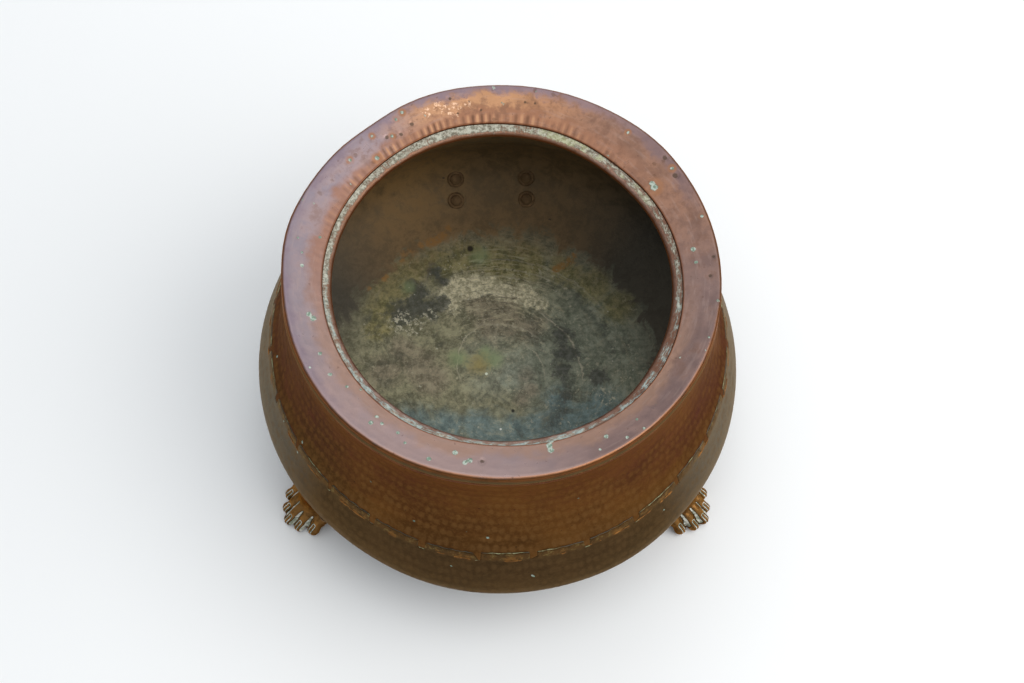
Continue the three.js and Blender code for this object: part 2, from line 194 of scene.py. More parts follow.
fine = np.linspace(0, 1, 400)
wall = np.concatenate([bezier(SHOULDER, fine), bezier(BOWL, fine)[1:]])
print("wall path", len(wall), "points")


# %% Out of round
RIM_BULGES = [(-98, 13, 2.7), (-136, 9, -1.7), (-157, 11, 0.9), (139, 14, 1.9), (168, 16, 0.5), (20, 16, 0.7),
              (-38, 32, 3.1)]
PLATE_DRAWN_IN = [(2, 20, 3.0), (58, 24, -2.2), (-158, 14, -1.3), (142, 17, 2.5), (-75, 30, 0.6)]
ROLL_DRAWN_IN = [(180, 70, 1.2), (140, 24, 2.6), (44, 16, -2.0), (0, 30, 0.5)]
BELLY_BULGES = [(66, 16, 1.0), (35, 15, 2.0), (0, 24, 1.2), (-31, 15, -1.4)]
BULGE_TOP = 60 * MM


def smooth(value):
    """0 below 0, 1 above 1, and a soft step between."""
    value = np.clip(value, 0, 1)
    return value * value * (3 - 2 * value)


def bulge(azimuth, bulges):
    """Outward swelling from a list of (azimuth in degrees, half width in degrees, height in millimetres)."""
    total = np.zeros_like(azimuth)
    for centre, spread, height in bulges:
        away = (np.degrees(azimuth) - centre + 180) % 360 - 180
        total += height * MM * np.exp(-(away / spread) ** 2)
    return total


def drawn_in(points, bulges, share):
    """Moves points towards the mouth, along the slope of the rim's plate."""
    shift = bulge(points.azimuth, bulges) * share
    points.radius = points.radius - shift
    points.depth = points.depth + shift * math.tan(FLANGE_SLOPE)


def wall_bulge(azimuth, depth):
    """The belly's swelling, which fades out up the shoulder and down the bowl, and the rim's down the neck."""
    neck = 1 - smooth((depth - SKIRT_DEPTH) / BULGE_TOP)
    upper = smooth((depth - BULGE_TOP) / (BELLY_DEPTH - BULGE_TOP))
    lower = smooth((BOWL_DEPTH - depth) / (BOWL_DEPTH - BELLY_DEPTH))
    return bulge(azimuth, BELLY_BULGES) * upper * lower + bulge(azimuth, RIM_BULGES) * neck


print("largest swelling", max(height for *_, height in RIM_BULGES + BELLY_BULGES), "mm")

# %% [markdown]
# ## Hammer marks
# A planishing hammer leaves a shallow dish at each blow, and neighbouring dishes meet in soft ridges. The
# blows of this pot are struck close together in courses round it, so each mark is taller than it is wide and
# the courses show as wavy lines. The height of a point comes from its distance to the nearest blow.

# %% Hammer marks
MARK_WIDTH = 7 * MM
COURSE = 12.8 * MM
COURSE_WAVE = 1.3 * MM
BLOW_SLOTS = 4096


def hammer(azimuth, along, radius, width=MARK_WIDTH, course=COURSE, wander=0.16, seed=1):
    """Height from 0 in a dish to 1 on a ridge, by azimuth, length along the wall and radius."""
    wavy = along + COURSE_WAVE * dent(azimuth * 5, along * 0, seed + 2, 10, course)
    rows = np.floor(wavy / course).astype(int)
    row_count = rows.max() + 4
    order = np.argsort(along)
    shift = np.random.default_rng(seed).uniform(-1, 1, row_count)
    table = np.random.default_rng(seed + 1).uniform(-wander, wander, (row_count, BLOW_SLOTS, 2))
    best = np.full(azimuth.shape, 9.0)
    for row_step in (-1, 0, 1):
        row = rows + row_step
        mean_radius = np.interp((row + 0.5) * course, along[order], radius[order])
        blows = np.maximum(6, np.round(2 * math.pi * mean_radius / width)).astype(int)
        place = azimuth / (2 * math.pi) * blows + shift[row + 1] * 0.5
        for blow_step in (-1, 0, 1):
            blow = np.floor(place).astype(int) + blow_step
            wobble = table[row + 1, blow % blows]
            across = place - blow - 0.5 - wobble[..., 0]
            down = wavy / course - row - 0.5 - wobble[..., 1]
            best = np.minimum(best, 0.75 * across ** 2 + down ** 2)
    return np.clip(best / 0.36, 0, 1)


def dent(azimuth, along, seed, count, reach):
    """Slow unevenness of hand work, from -1 to 1: a sum of a few broad waves round and along the wall."""
    waves = np.random.default_rng(seed)
    total = np.zeros_like(azimuth)
    for _ in range(count):
        turns = waves.integers(1, 9)
        total += np.cos(turns * azimuth + waves.uniform(0, 6.3)) * np.cos(
            along / reach * waves.uniform(1, 6) + waves.uniform(0, 6.3))
    return total / count * 2


print("one mark is", MARK_WIDTH / MM, "by", COURSE / MM, "mm")

# %% [markdown]
# ## Turned sheets
# Every copper piece is a closed shell: rows of points round the pot, outside and back inside. Where a row
# gets short, near the middle of the floor, it has half as many points as the row before, so that no face
# becomes a sliver.

# %% Faces between two rings
def ring_faces(first, first_count, second, second_count):
    """Faces between two rings of points. The second ring has as many points as the first, or half."""
    faces = []
    if second_count == 1:
        return [(first + i, second, first + (i + 1) % first_count) for i in range(first_count)]
    if first_count == 1:
        return [(first, second + i, second + (i + 1) % second_count) for i in range(second_count)]
    if first_count == second_count:
        for i in range(first_count):
            j = (i + 1) % first_count
            faces.append((first + i, second + i, second + j, first + j))
    elif first_count == 2 * second_count:
        for i in range(second_count):
            j = (i + 1) % second_count
            a, b, c = first + 2 * i, first + 2 * i + 1, first + (2 * i + 2) % first_count
            faces += [(a, second + i, b), (b, second + i, second + j), (b, second + j, c)]
    else:
        for i in range(first_count):
            j = (i + 1) % first_count
            a, b, c = second + 2 * i, second + 2 * i + 1, second + (2 * i + 2) % second_count
            faces += [(first + i, a, b), (first + i, b, first + j), (first + j, b, c)]
    return faces


# %% Objects from meshes
def link_object(name, mesh):
    """An object for a mesh, in the scene."""
    piece = bpy.data.objects.new(name, mesh)
    bpy.context.scene.collection.objects.link(piece)
    return piece


def outward(mesh):
    """Joins equal corners and turns every face outwards."""
    work = bmesh.new()
    work.from_mesh(mesh)
    bmesh.ops.remove_doubles(work, verts=work.verts, dist=MM / 1000)
    bmesh.ops.recalc_face_normals(work, faces=work.faces)
    work.to_mesh(mesh)
    work.free()
    mesh.shade_smooth()


def line_inside(piece, lining):
    """Gives the faces that look at the axis, or up from the floor, a second material."""
    piece.data.materials.append(lining)
    for face in piece.data.polygons:
        centre = face.center - AXIS
        outwards = face.normal.x * centre.x + face.normal.y * centre.y
        on_floor = math.hypot(centre.x, centre.y) < BELLY_RADIUS / 2
        looks_up = face.normal.z > 0
        face.material_index = int(looks_up) if on_floor else int(outwards < 0)


# %% Turned shells
def closed_path(outer, inner):
    return np.concatenate([outer, inner[::-1]])


def turned(name, path, counts, shape, material, lean=False):
    """A closed shell from a path of (radius, depth), turned about the axis.

    counts gives the number of points in each row. shape(points) changes the points before they are placed:
    it may move them, set how far each goes inwards along the wall's normal, and leave marks for the finish.
    """
    step = np.roll(path, -1, axis=0) - np.roll(path, 1, axis=0)
    step /= np.maximum(np.hypot(*step.T), 1e-9)[:, None]
    following = np.roll(path, -1, axis=0)
    turning = np.sign(np.sum(path[:, 0] * following[:, 1] - following[:, 0] * path[:, 1]))
    normal = np.stack([step[:, 1], -step[:, 0]], axis=1) * turning
    along = np.cumsum(np.hypot(*np.diff(path, axis=0, prepend=path[:1]).T))
    rows = np.repeat(np.arange(len(path)), counts)
    azimuth = np.concatenate([np.arange(n) / n * 2 * math.pi for n in counts])
    points = SimpleNamespace(azimuth=azimuth, along=along[rows], radius=path[rows, 0], depth=path[rows, 1],
                             row=rows, inwards=np.zeros(len(rows)), marks={})
    shape(points)
    radius = points.radius - normal[rows, 0] * points.inwards
    depth = points.depth - normal[rows, 1] * points.inwards
    x = AXIS.x + radius * np.sin(points.azimuth)
    y = AXIS.y - radius * np.cos(points.azimuth) - (leaned(radius) if lean else 0)
    starts = np.concatenate([[0], np.cumsum(counts)])
    faces = []
    for i in range(len(path)):
        j = (i + 1) % len(path)
        faces += ring_faces(int(starts[i]), int(counts[i]), int(starts[j]), int(counts[j]))
    mesh = bpy.data.meshes.new(name)
    mesh.from_pydata(np.stack([x, y, TOTAL_HEIGHT - depth], axis=1).tolist(), [], faces)
    for key, values in points.marks.items():
        mesh.attributes.new(key, "FLOAT", "POINT").data.foreach_set("value", values.astype(np.float32))
    mesh.materials.append(material)
    outward(mesh)
    print(name, len(mesh.vertices), "points", len(mesh.polygons), "faces")
    return link_object(name, mesh)

# %% [markdown]
# ## Finishes
# Old copper isn't one colour. The bright metal shows only where hands and cloths rub it, the rest is a brown
# or mauve oxide, and damp leaves green salts. Each finish below mixes these by noise, by the side of the pot
# it is on, and by the marks that the shapes leave on their points.

# %% Node helpers
def add(tree, kind, inputs=None, **settings):
    """A node with its settings, and its inputs given by name or number as values or as other nodes' outputs."""
    node = tree.nodes.new(kind)
    for key, value in settings.items():
        setattr(node, key, value)
    for key, value in (inputs or {}).items():
        socket = node.inputs[key]
        if isinstance(value, bpy.types.NodeSocket):
            tree.links.new(value, socket)
        else:
            socket.default_value = value
    return node


def noise(tree, vector, scale, detail=4, roughness=0.55, distortion=0.0):
    """Cloudy noise, mostly between 0.3 and 0.7."""
    node = add(tree, "ShaderNodeTexNoise", {"Vector": vector, "Scale": scale, "Detail": detail,
                                            "Roughness": roughness, "Distortion": distortion})
    return node.outputs["Fac"]


def ramp(tree, value, low, high):
    """0 below low, 1 above high, smooth between. With low above high it falls instead."""
    node = add(tree, "ShaderNodeMapRange", {"Value": value, "From Min": low, "From Max": high},
               interpolation_type="SMOOTHSTEP")
    return node.outputs["Result"]


def mix(tree, share, first, second):
    """The first colour where the share is 0, the second where it is 1."""
    node = tree.nodes.new("ShaderNodeMix")
    node.data_type = "RGBA"
    for socket, value in ((node.inputs[0], share), (node.inputs[6], first), (node.inputs[7], second)):
        if isinstance(value, bpy.types.NodeSocket):
            tree.links.new(value, socket)
        elif isinstance(value, tuple):
            socket.default_value = (*value, 1)
        else:
            socket.default_value = value
    return node.outputs[2]


def calc(tree, operation, first, second=0.0, clamp=False):
    """One step of arithmetic."""
    node = add(tree, "ShaderNodeMath", {0: first, 1: second}, operation=operation, use_clamp=clamp)
    return node.outputs[0]


def scaled(tree, value, factor, offset=0.0, clamp=False):
    """The value times a factor, plus an offset."""
    node = add(tree, "ShaderNodeMath", {0: value, 1: factor, 2: offset}, operation="MULTIPLY_ADD",
               use_clamp=clamp)
    return node.outputs[0]


def both(tree, *shares):
    """The product of several shares."""
    total = shares[0]
    for share in shares[1:]:
        total = calc(tree, "MULTIPLY", total, share)
    return total


def without(tree, share):
    """What a share leaves over."""
    return calc(tree, "SUBTRACT", 1.0, share)


def attribute(tree, name):
    """A mark that the shape left on its points."""
    return add(tree, "ShaderNodeAttribute", attribute_name=name).outputs["Fac"]


def spots(tree, vector, scale, share, size):
    """Separate spots: a share of the cells of a scattered pattern, each with a ragged round blot."""
    wobble = add(tree, "ShaderNodeTexNoise", {"Vector": vector, "Scale": scale * 3.0, "Detail": 3.0})
    push = add(tree, "ShaderNodeVectorMath", {0: wobble.outputs["Color"], "Scale": 0.6 / scale},
               operation="SCALE")
    ragged = add(tree, "ShaderNodeVectorMath", {0: vector, 1: push.outputs[0]}, operation="ADD")
    cells = add(tree, "ShaderNodeTexVoronoi", {"Vector": ragged.outputs[0], "Scale": scale})
    chosen = add(tree, "ShaderNodeSeparateColor", {0: cells.outputs["Color"]})
    keep = calc(tree, "LESS_THAN", chosen.outputs[0], share)
    return both(tree, keep, ramp(tree, cells.outputs["Distance"], size, size * 0.6))


# %% Places on the pot
def finish_of(name, edge_tint=None):
    """A new material with its tree, its shader and the object's own coordinates."""
    material = bpy.data.materials.new(name)
    material.use_nodes = True
    tree = material.node_tree
    shader = tree.nodes["Principled BSDF"]
    if edge_tint:
        shader.inputs["Specular Tint"].default_value = (*edge_tint, 1)
    return material, tree, shader, add(tree, "ShaderNodeTexCoord").outputs["Object"]


def round_the_axis(tree, place):
    """Coordinates from the pot's axis, the flat part of them, the distance from the axis and the height."""
    centred = add(tree, "ShaderNodeMapping", {"Vector": place, "Location": tuple(-c for c in AXIS)}).outputs[0]
    parts = add(tree, "ShaderNodeSeparateXYZ", {0: centred})
    flat = add(tree, "ShaderNodeCombineXYZ", {0: parts.outputs[0], 1: parts.outputs[1]}).outputs[0]
    radius = add(tree, "ShaderNodeVectorMath", {0: flat}, operation="LENGTH").outputs["Value"]
    return SimpleNamespace(centred=centred, flat=flat, radius=radius, height=parts.outputs[2])


def towards(tree, pot, azimuth, reach, soft=25):
    """1 on the side of the pot that an azimuth names, 0 beyond its reach, all in degrees."""
    side = (math.sin(math.radians(azimuth)), -math.cos(math.radians(azimuth)), 0)
    heading = add(tree, "ShaderNodeVectorMath", {0: pot.flat}, operation="NORMALIZE").outputs[0]
    facing = add(tree, "ShaderNodeVectorMath", {0: heading, 1: side}, operation="DOT_PRODUCT").outputs["Value"]
    outer = min(reach + soft / 2, 179)
    inner = max(reach - soft / 2, 1)
    return ramp(tree, facing, math.cos(math.radians(outer)), math.cos(math.radians(inner)))


def along_rings(tree, pot, radial, around):
    """Coordinates in which a noise is drawn out round the axis, as brush strokes and scratches are."""
    heading = add(tree, "ShaderNodeVectorMath", {0: pot.flat}, operation="NORMALIZE").outputs[0]
    parts = add(tree, "ShaderNodeSeparateXYZ", {0: heading})
    drawn = add(tree, "ShaderNodeCombineXYZ", {0: scaled(tree, parts.outputs[0], around),
                                               1: scaled(tree, parts.outputs[1], around),
                                               2: scaled(tree, pot.radius, radial)})
    return drawn.outputs[0]


def relief(tree, shader, height, distance):
    """Fine relief that the mesh is too coarse for."""
    node = add(tree, "ShaderNodeBump", {"Strength": 1.0, "Distance": distance, "Height": height})
    tree.links.new(node.outputs[0], shader.inputs["Normal"])


print("node helpers ready")

# %% [markdown]
# ## Sheet copper
# The wall and the rim are one metal with two skins of oxide. The wall's is brown, with a painted highlight in the
# middle of each hammer mark and painted shade on the ridges between marks. The rim's runs from mauve on the near
# and left sides to orange on the far side and darker on the right: partly its oxide, partly painted reflection and
# shade, for its plate falls towards the mouth and faces the light differently on each side. Both end the same way,
# with green salts laid over the colour.

# %% Salts over copper
GREEN_SALTS = (0.15, 0.225, 0.175)
PALE_SALTS = (0.42, 0.49, 0.43)
COPPER_EDGE = (1.0, 0.52, 0.30)


def salted(tree, shader, place, colour, salts, metal, rough, unevenness, depth):
    """Ends a copper finish: green salts over the colour, dull and unmetallic where they lie."""
    shade = noise(tree, place, 420.0, 3.0)
    salt_colour = mix(tree, ramp(tree, shade, 0.40, 0.60), GREEN_SALTS, PALE_SALTS)
    tree.links.new(mix(tree, salts, colour, salt_colour), shader.inputs["Base Color"])
    tree.links.new(scaled(tree, salts, -metal, metal), shader.inputs["Metallic"])
    grain = noise(tree, place, 230.0, 5.0, 0.65)
    low, high = rough
    roughness = scaled(tree, unevenness, (high - low) / 0.4, low - 0.3 * (high - low) / 0.4)
    dull = calc(tree, "ADD", roughness, scaled(tree, salts, 0.45), clamp=True)
    tree.links.new(dull, shader.inputs["Roughness"])
    relief(tree, shader, calc(tree, "ADD", scaled(tree, grain, 0.5), scaled(tree, salts, 0.8)), depth)


# %% Browned wall
UNDER_RIM_LOW = TOTAL_HEIGHT - 75 * MM
UNDER_RIM_HIGH = TOTAL_HEIGHT - 25 * MM


def wall_finish(name, edge, dark, middle, bright, sides, green):
    """Browned copper: cloudy oxide, painted side tones, a painted highlight in each hammer mark and shade on its
    ridges.
    """
    material, tree, shader, place = finish_of(name, edge)
    pot = round_the_axis(tree, place)
    clouds = noise(tree, place, 13.0, 6.0, 0.6)
    blotch = noise(tree, place, 55.0, 5.0, 0.7)
    fine_grain = noise(tree, place, 330.0, 4.0, 0.7)
    colour = mix(tree, ramp(tree, clouds, 0.36, 0.64), dark, middle)
    # Painted tones by side: shade on the shoulder's left, a grey reflection at the bowl's left and right edges.
    for azimuth, reach, tint, share in sides:
        painted_side_tone = both(tree, towards(tree, pot, azimuth, reach, 34), ramp(tree, blotch, 0.20, 0.50))
        colour = mix(tree, scaled(tree, painted_side_tone, share), colour, tint)
    colour = mix(tree, scaled(tree, ramp(tree, fine_grain, 0.46, 0.62), 0.25), colour, bright)
    # Painted highlight in the middle of each hammer mark, and painted shade on the ridges between the marks.
    dish = without(tree, attribute(tree, "ridge"))
    wear_and_highlight = both(tree, ramp(tree, dish, 0.45, 0.95), ramp(tree, blotch, 0.34, 0.62))
    colour = mix(tree, scaled(tree, wear_and_highlight, 0.45), colour, bright)
    lines = both(tree, ramp(tree, attribute(tree, "ridge"), 0.62, 1.0), ramp(tree, blotch, 0.66, 0.4))
    colour = mix(tree, scaled(tree, lines, 0.32), colour, dark)
    under_rim = ramp(tree, pot.height, UNDER_RIM_LOW, UNDER_RIM_HIGH)
    colour = mix(tree, scaled(tree, under_rim, 0.5), colour, (0.175, 0.078, 0.014))
    lapped = both(tree, attribute(tree, "tab"), ramp(tree, noise(tree, place, 60.0, 5.0, 0.7), 0.38, 0.56))
    colour = mix(tree, scaled(tree, lapped, 0.8), colour, (0.098, 0.046, 0.014))
    dirt = noise(tree, place, 170.0, 5.0, 0.75)
    gilt = both(tree, attribute(tree, "tab"), ramp(tree, dirt, 0.53, 0.61))
    colour = mix(tree, scaled(tree, gilt, 0.55), colour, (0.190, 0.140, 0.050))
    grime = both(tree, attribute(tree, "tab"), ramp(tree, dirt, 0.46, 0.38))
    colour = mix(tree, scaled(tree, grime, 0.6), colour, (0.032, 0.022, 0.009))
    # Painted shadow along the tops of the tabs, broken up by noise.
    tab_shadow = both(tree, attribute(tree, "tab_shadow"), ramp(tree, dirt, 0.66, 0.40))
    colour = mix(tree, scaled(tree, tab_shadow, 0.75), colour, (0.046, 0.024, 0.006))
    worn = both(tree, attribute(tree, "worn"), ramp(tree, noise(tree, place, 85.0, 5.0, 0.7), 0.47, 0.58))
    colour = mix(tree, scaled(tree, worn, 0.8), colour, (0.21, 0.095, 0.024))
    pits = spots(tree, place, 240.0, 0.12, 0.2)
    colour = mix(tree, scaled(tree, pits, 0.6), colour, (0.02, 0.012, 0.008))
    ragged = calc(tree, "ADD", attribute(tree, "salt"), scaled(tree, fine_grain, 0.9, -0.45))
    salts = calc(tree, "MAXIMUM", spots(tree, place, 88.0, green, 0.12), ramp(tree, ragged, 0.36, 0.46))
    salted(tree, shader, place, colour, salts, 0.85, (0.40, 0.58), blotch, 0.22 * MM)
    return material


# The darker tone on the shoulder's left is painted shade.
shoulder_copper = wall_finish("shoulder_copper", (0.55, 0.35, 0.2), (0.078, 0.033, 0.009),
                              (0.126, 0.054, 0.014), (0.20, 0.100, 0.036),
                              [(-80, 40, (0.058, 0.036, 0.013), 0.6)], 0.03)
# The grey tones at the bowl's left and right edges are a painted reflection.
bowl_copper_outside = wall_finish("bowl_copper_outside", (0.95, 0.74, 0.52), (0.036, 0.019, 0.007),
                                  (0.055, 0.028, 0.010), (0.110, 0.062, 0.025),
                                  [(-85, 28, (0.135, 0.138, 0.122), 0.8), (88, 28, (0.145, 0.135, 0.112), 0.8)],
                                  0.02)
print("wall finishes", shoulder_copper.name, bowl_copper_outside.name)


# %% Mauve and orange rim
def rim_colours(tree, pot, place, radius):
    """The rim plate's colour by side and by distance from the mouth: oxide, with painted reflection and shade by
    side.
    """
    clouds = noise(tree, place, 14.0, 5.0, 0.6)
    blotch = noise(tree, place, 48.0, 6.0, 0.66)
    mottle = noise(tree, place, 120.0, 6.0, 0.7)
    streak = noise(tree, along_rings(tree, pot, 130.0, 3.5), 2.2, 5.0, 0.6)
    ragged = calc(tree, "ADD", radius, scaled(tree, blotch, 0.030, -0.015))
    colour = mix(tree, ramp(tree, clouds, 0.34, 0.64), (0.235, 0.187, 0.198), (0.290, 0.208, 0.196))
    # Side tones, partly oxide and partly painted: mauve sky sheen on the left, orange reflection far, shade on the
    # right.
    sides = [  # azimuth and reach in degrees, share, two tones
        (85, 62, 0.9, (0.132, 0.088, 0.082), (0.180, 0.118, 0.103)),
        (-95, 30, 0.8, (0.205, 0.178, 0.205), (0.262, 0.205, 0.215)),
        (-132, 34, 0.8, (0.210, 0.180, 0.212), (0.275, 0.208, 0.212)),
        (150, 42, 0.95, (0.160, 0.090, 0.066), (0.262, 0.142, 0.096)),
        (-170, 19, 0.9, (0.245, 0.122, 0.066), (0.400, 0.205, 0.112))]
    for azimuth, reach, share, first, second in sides:
        tone = mix(tree, ramp(tree, blotch, 0.36, 0.62), first, second)
        colour = mix(tree, scaled(tree, towards(tree, pot, azimuth, reach, 40), share), colour, tone)
    tan = both(tree, ramp(tree, ragged, 0.168, 0.156), towards(tree, pot, 0, 80, 50))
    colour = mix(tree, scaled(tree, tan, 0.65), colour, (0.30, 0.178, 0.122))
    # Painted reflection: an orange band beside the mouth on the far side.
    mouth_reflection = both(tree, towards(tree, pot, -150, 70, 50), ramp(tree, ragged, 0.166, 0.156))
    colour = mix(tree, scaled(tree, mouth_reflection, 0.8), colour, (0.26, 0.125, 0.076))
    # Painted highlight: a bright orange band across the middle of the far plate.
    far_highlight = both(tree, towards(tree, pot, -166, 16, 16), ramp(tree, ragged, 0.178, 0.172),
                       ramp(tree, ragged, 0.160, 0.167))
    colour = mix(tree, scaled(tree, far_highlight, 0.6), colour, (0.47, 0.255, 0.135))
    browned = both(tree, ramp(tree, blotch, 0.54, 0.66), without(tree, towards(tree, pot, -20, 70, 50)))
    colour = mix(tree, scaled(tree, browned, 0.5), colour, (0.150, 0.082, 0.060))
    mottled = both(tree, ramp(tree, mottle, 0.50, 0.62), towards(tree, pot, 165, 75, 50))
    colour = mix(tree, scaled(tree, mottled, 0.45), colour, (0.145, 0.078, 0.056))
    purple = both(tree, ramp(tree, ragged, 0.1715, 0.1805), towards(tree, pot, -130, 80, 60))
    colour = mix(tree, scaled(tree, purple, 0.85), colour, (0.175, 0.140, 0.175))
    blue = both(tree, ramp(tree, ragged, 0.168, 0.178), towards(tree, pot, 132, 12, 18))
    colour = mix(tree, scaled(tree, blue, 0.55), colour, (0.125, 0.100, 0.122))
    return mix(tree, scaled(tree, ramp(tree, streak, 0.52, 0.66), 0.16), colour, (0.36, 0.27, 0.24))


def rim_finish():
    """The rim's copper: skirt, rubbed edge, flutes, stains, pits; painted shade, painted light on flutes and bead,
    glints.
    """
    material, tree, shader, place = finish_of("rim_copper", COPPER_EDGE)
    pot = round_the_axis(tree, place)
    radius = attribute(tree, "plate_radius")
    blotch = noise(tree, place, 60.0, 5.0, 0.65)
    fine_grain = noise(tree, place, 380.0, 4.0, 0.65)
    colour = rim_colours(tree, pot, place, radius)
    flute = attribute(tree, "flute")
    # Painted light and shade on the flutes: lighter in their hollows, darker between them.
    colour = mix(tree, ramp(tree, flute, 0.05, 1.2), colour, (0.42, 0.225, 0.125))
    colour = mix(tree, ramp(tree, flute, -0.05, -1.2), colour, (0.120, 0.060, 0.038))
    skirt = attribute(tree, "skirt")
    skirt_colour = mix(tree, ramp(tree, blotch, 0.38, 0.62), (0.078, 0.033, 0.009), (0.126, 0.054, 0.014))
    colour = mix(tree, skirt, colour, skirt_colour)
    reddened = both(tree, attribute(tree, "neck"), ramp(tree, blotch, 0.3, 0.6))
    colour = mix(tree, scaled(tree, reddened, 0.8), colour, (0.150, 0.052, 0.014))
    # Painted highlight: a tan line along the bead at the skirt's lower edge.
    colour = mix(tree, scaled(tree, attribute(tree, "lip"), 0.7), colour, (0.135, 0.098, 0.046))
    wear_and_highlight = calc(tree, "ADD", scaled(tree, towards(tree, pot, 12, 28, 30), 0.65, 0.3),
                  scaled(tree, blotch, 1.2, -0.6), clamp=True)
    colour = mix(tree, both(tree, attribute(tree, "worn"), wear_and_highlight), colour, (0.42, 0.18, 0.075))
    # Painted shade in the crevice where the plate meets the mouth ring.
    crevice_shade = ramp(tree, radius, FLANGE_INNER_RADIUS + 2.0 * MM, FLANGE_INNER_RADIUS + 0.6 * MM)
    colour = mix(tree, scaled(tree, crevice_shade, 0.75), colour, (0.125, 0.042, 0.016))
    far_side = towards(tree, pot, 185, 70, 40)
    pits = spots(tree, place, 190.0, 0.14, 0.2)
    colour = mix(tree, scaled(tree, pits, 0.4), colour, (0.09, 0.050, 0.038))
    rings = both(tree, spots(tree, place, 120.0, 0.2, 0.3), far_side)
    colour = mix(tree, scaled(tree, rings, 0.5), colour, (0.100, 0.055, 0.036))
    jagged = scaled(tree, fine_grain, 0.8, -0.4)
    dark = ramp(tree, calc(tree, "ADD", attribute(tree, "pit"), jagged), 0.34, 0.62)
    colour = mix(tree, scaled(tree, dark, 0.8), colour, (0.062, 0.044, 0.032))
    # Painted glints on the far plate.
    dots = both(tree, ramp(tree, fine_grain, 0.53, 0.60), ramp(tree, attribute(tree, "bright"), 0.0, 0.35))
    colour = mix(tree, scaled(tree, dots, 0.85), colour, (0.78, 0.52, 0.36))
    halo = both(tree, ramp(tree, attribute(tree, "salt"), -0.95, -0.1), far_side, ramp(tree, blotch, 0.3, 0.6))
    colour = mix(tree, scaled(tree, halo, 0.75), colour, (0.27, 0.125, 0.062))
    scattered = both(tree, spots(tree, place, 105.0, 0.10, 0.15), without(tree, skirt))
    placed = ramp(tree, calc(tree, "ADD", attribute(tree, "salt"), jagged), 0.30, 0.52)
    salts = calc(tree, "MAXIMUM", scaled(tree, scattered, 0.8), placed)
    salted(tree, shader, place, colour, salts, 0.72, (0.26, 0.40), blotch, 0.2 * MM)
    return material


rim_copper = rim_finish()
print("rim finish", rim_copper.name)

# %% [markdown]
# ## Inside of the pot
# Water stood in the bowl and left olive and grey stains up to a ragged line, with streaks of rust on it.
# Cleaning drew rings in them, and pale scale stayed where it was thickest. The wall above the line is brown,
# golden where the light falls in. The stains that the photograph shows are listed further on, on the bowl's
# own points: here each kind of stain gets its colour and its ragged edge.

# %% Inside patina
STAIN_RADIUS = 161 * MM
SCALE_ARCS = [  # centre, radius and half width in metres, azimuth and half reach in degrees, share
    (0.000, 0.000, 0.0840, 0.0014, 125, 27, 0.8), (0.000, 0.000, 0.0480, 0.0014, 124, 22, 0.5),
    (0.005, 0.020, 0.0455, 0.0010, -122, 30, 0.8), (0.000, 0.000, 0.0610, 0.0020, 172, 26, 0.35),
    (0.000, 0.000, 0.1120, 0.0018, -168, 26, 0.5), (0.000, 0.000, 0.1200, 0.0014, 176, 24, 0.4),
    (0.000, 0.000, 0.0930, 0.0016, -160, 30, 0.4), (0.000, 0.000, 0.1300, 0.0014, 160, 26, 0.35)]
DARK_ARCS = [
    (0.000, 0.000, 0.0680, 0.0100, 72, 24, 0.75), (0.000, 0.000, 0.0860, 0.0050, 128, 24, 0.5),
    (0.000, 0.000, 0.1180, 0.0070, 122, 18, 0.5), (0.000, 0.000, 0.0560, 0.0040, 150, 30, 0.4),
    (0.000, 0.000, 0.1290, 0.0050, -130, 16, 0.4)]
FLOOR_DOTS = [  # x, y and size in metres, colour
    (0.007, -0.050, 0.0012, (0.9, 0.9, 0.85)), (-0.011, 0.007, 0.0013, (0.8, 0.85, 0.7)),
    (0.0176, -0.030, 0.0018, (0.02, 0.025, 0.025)), (-0.0375, 0.139, 0.0030, (0.02, 0.016, 0.010))]


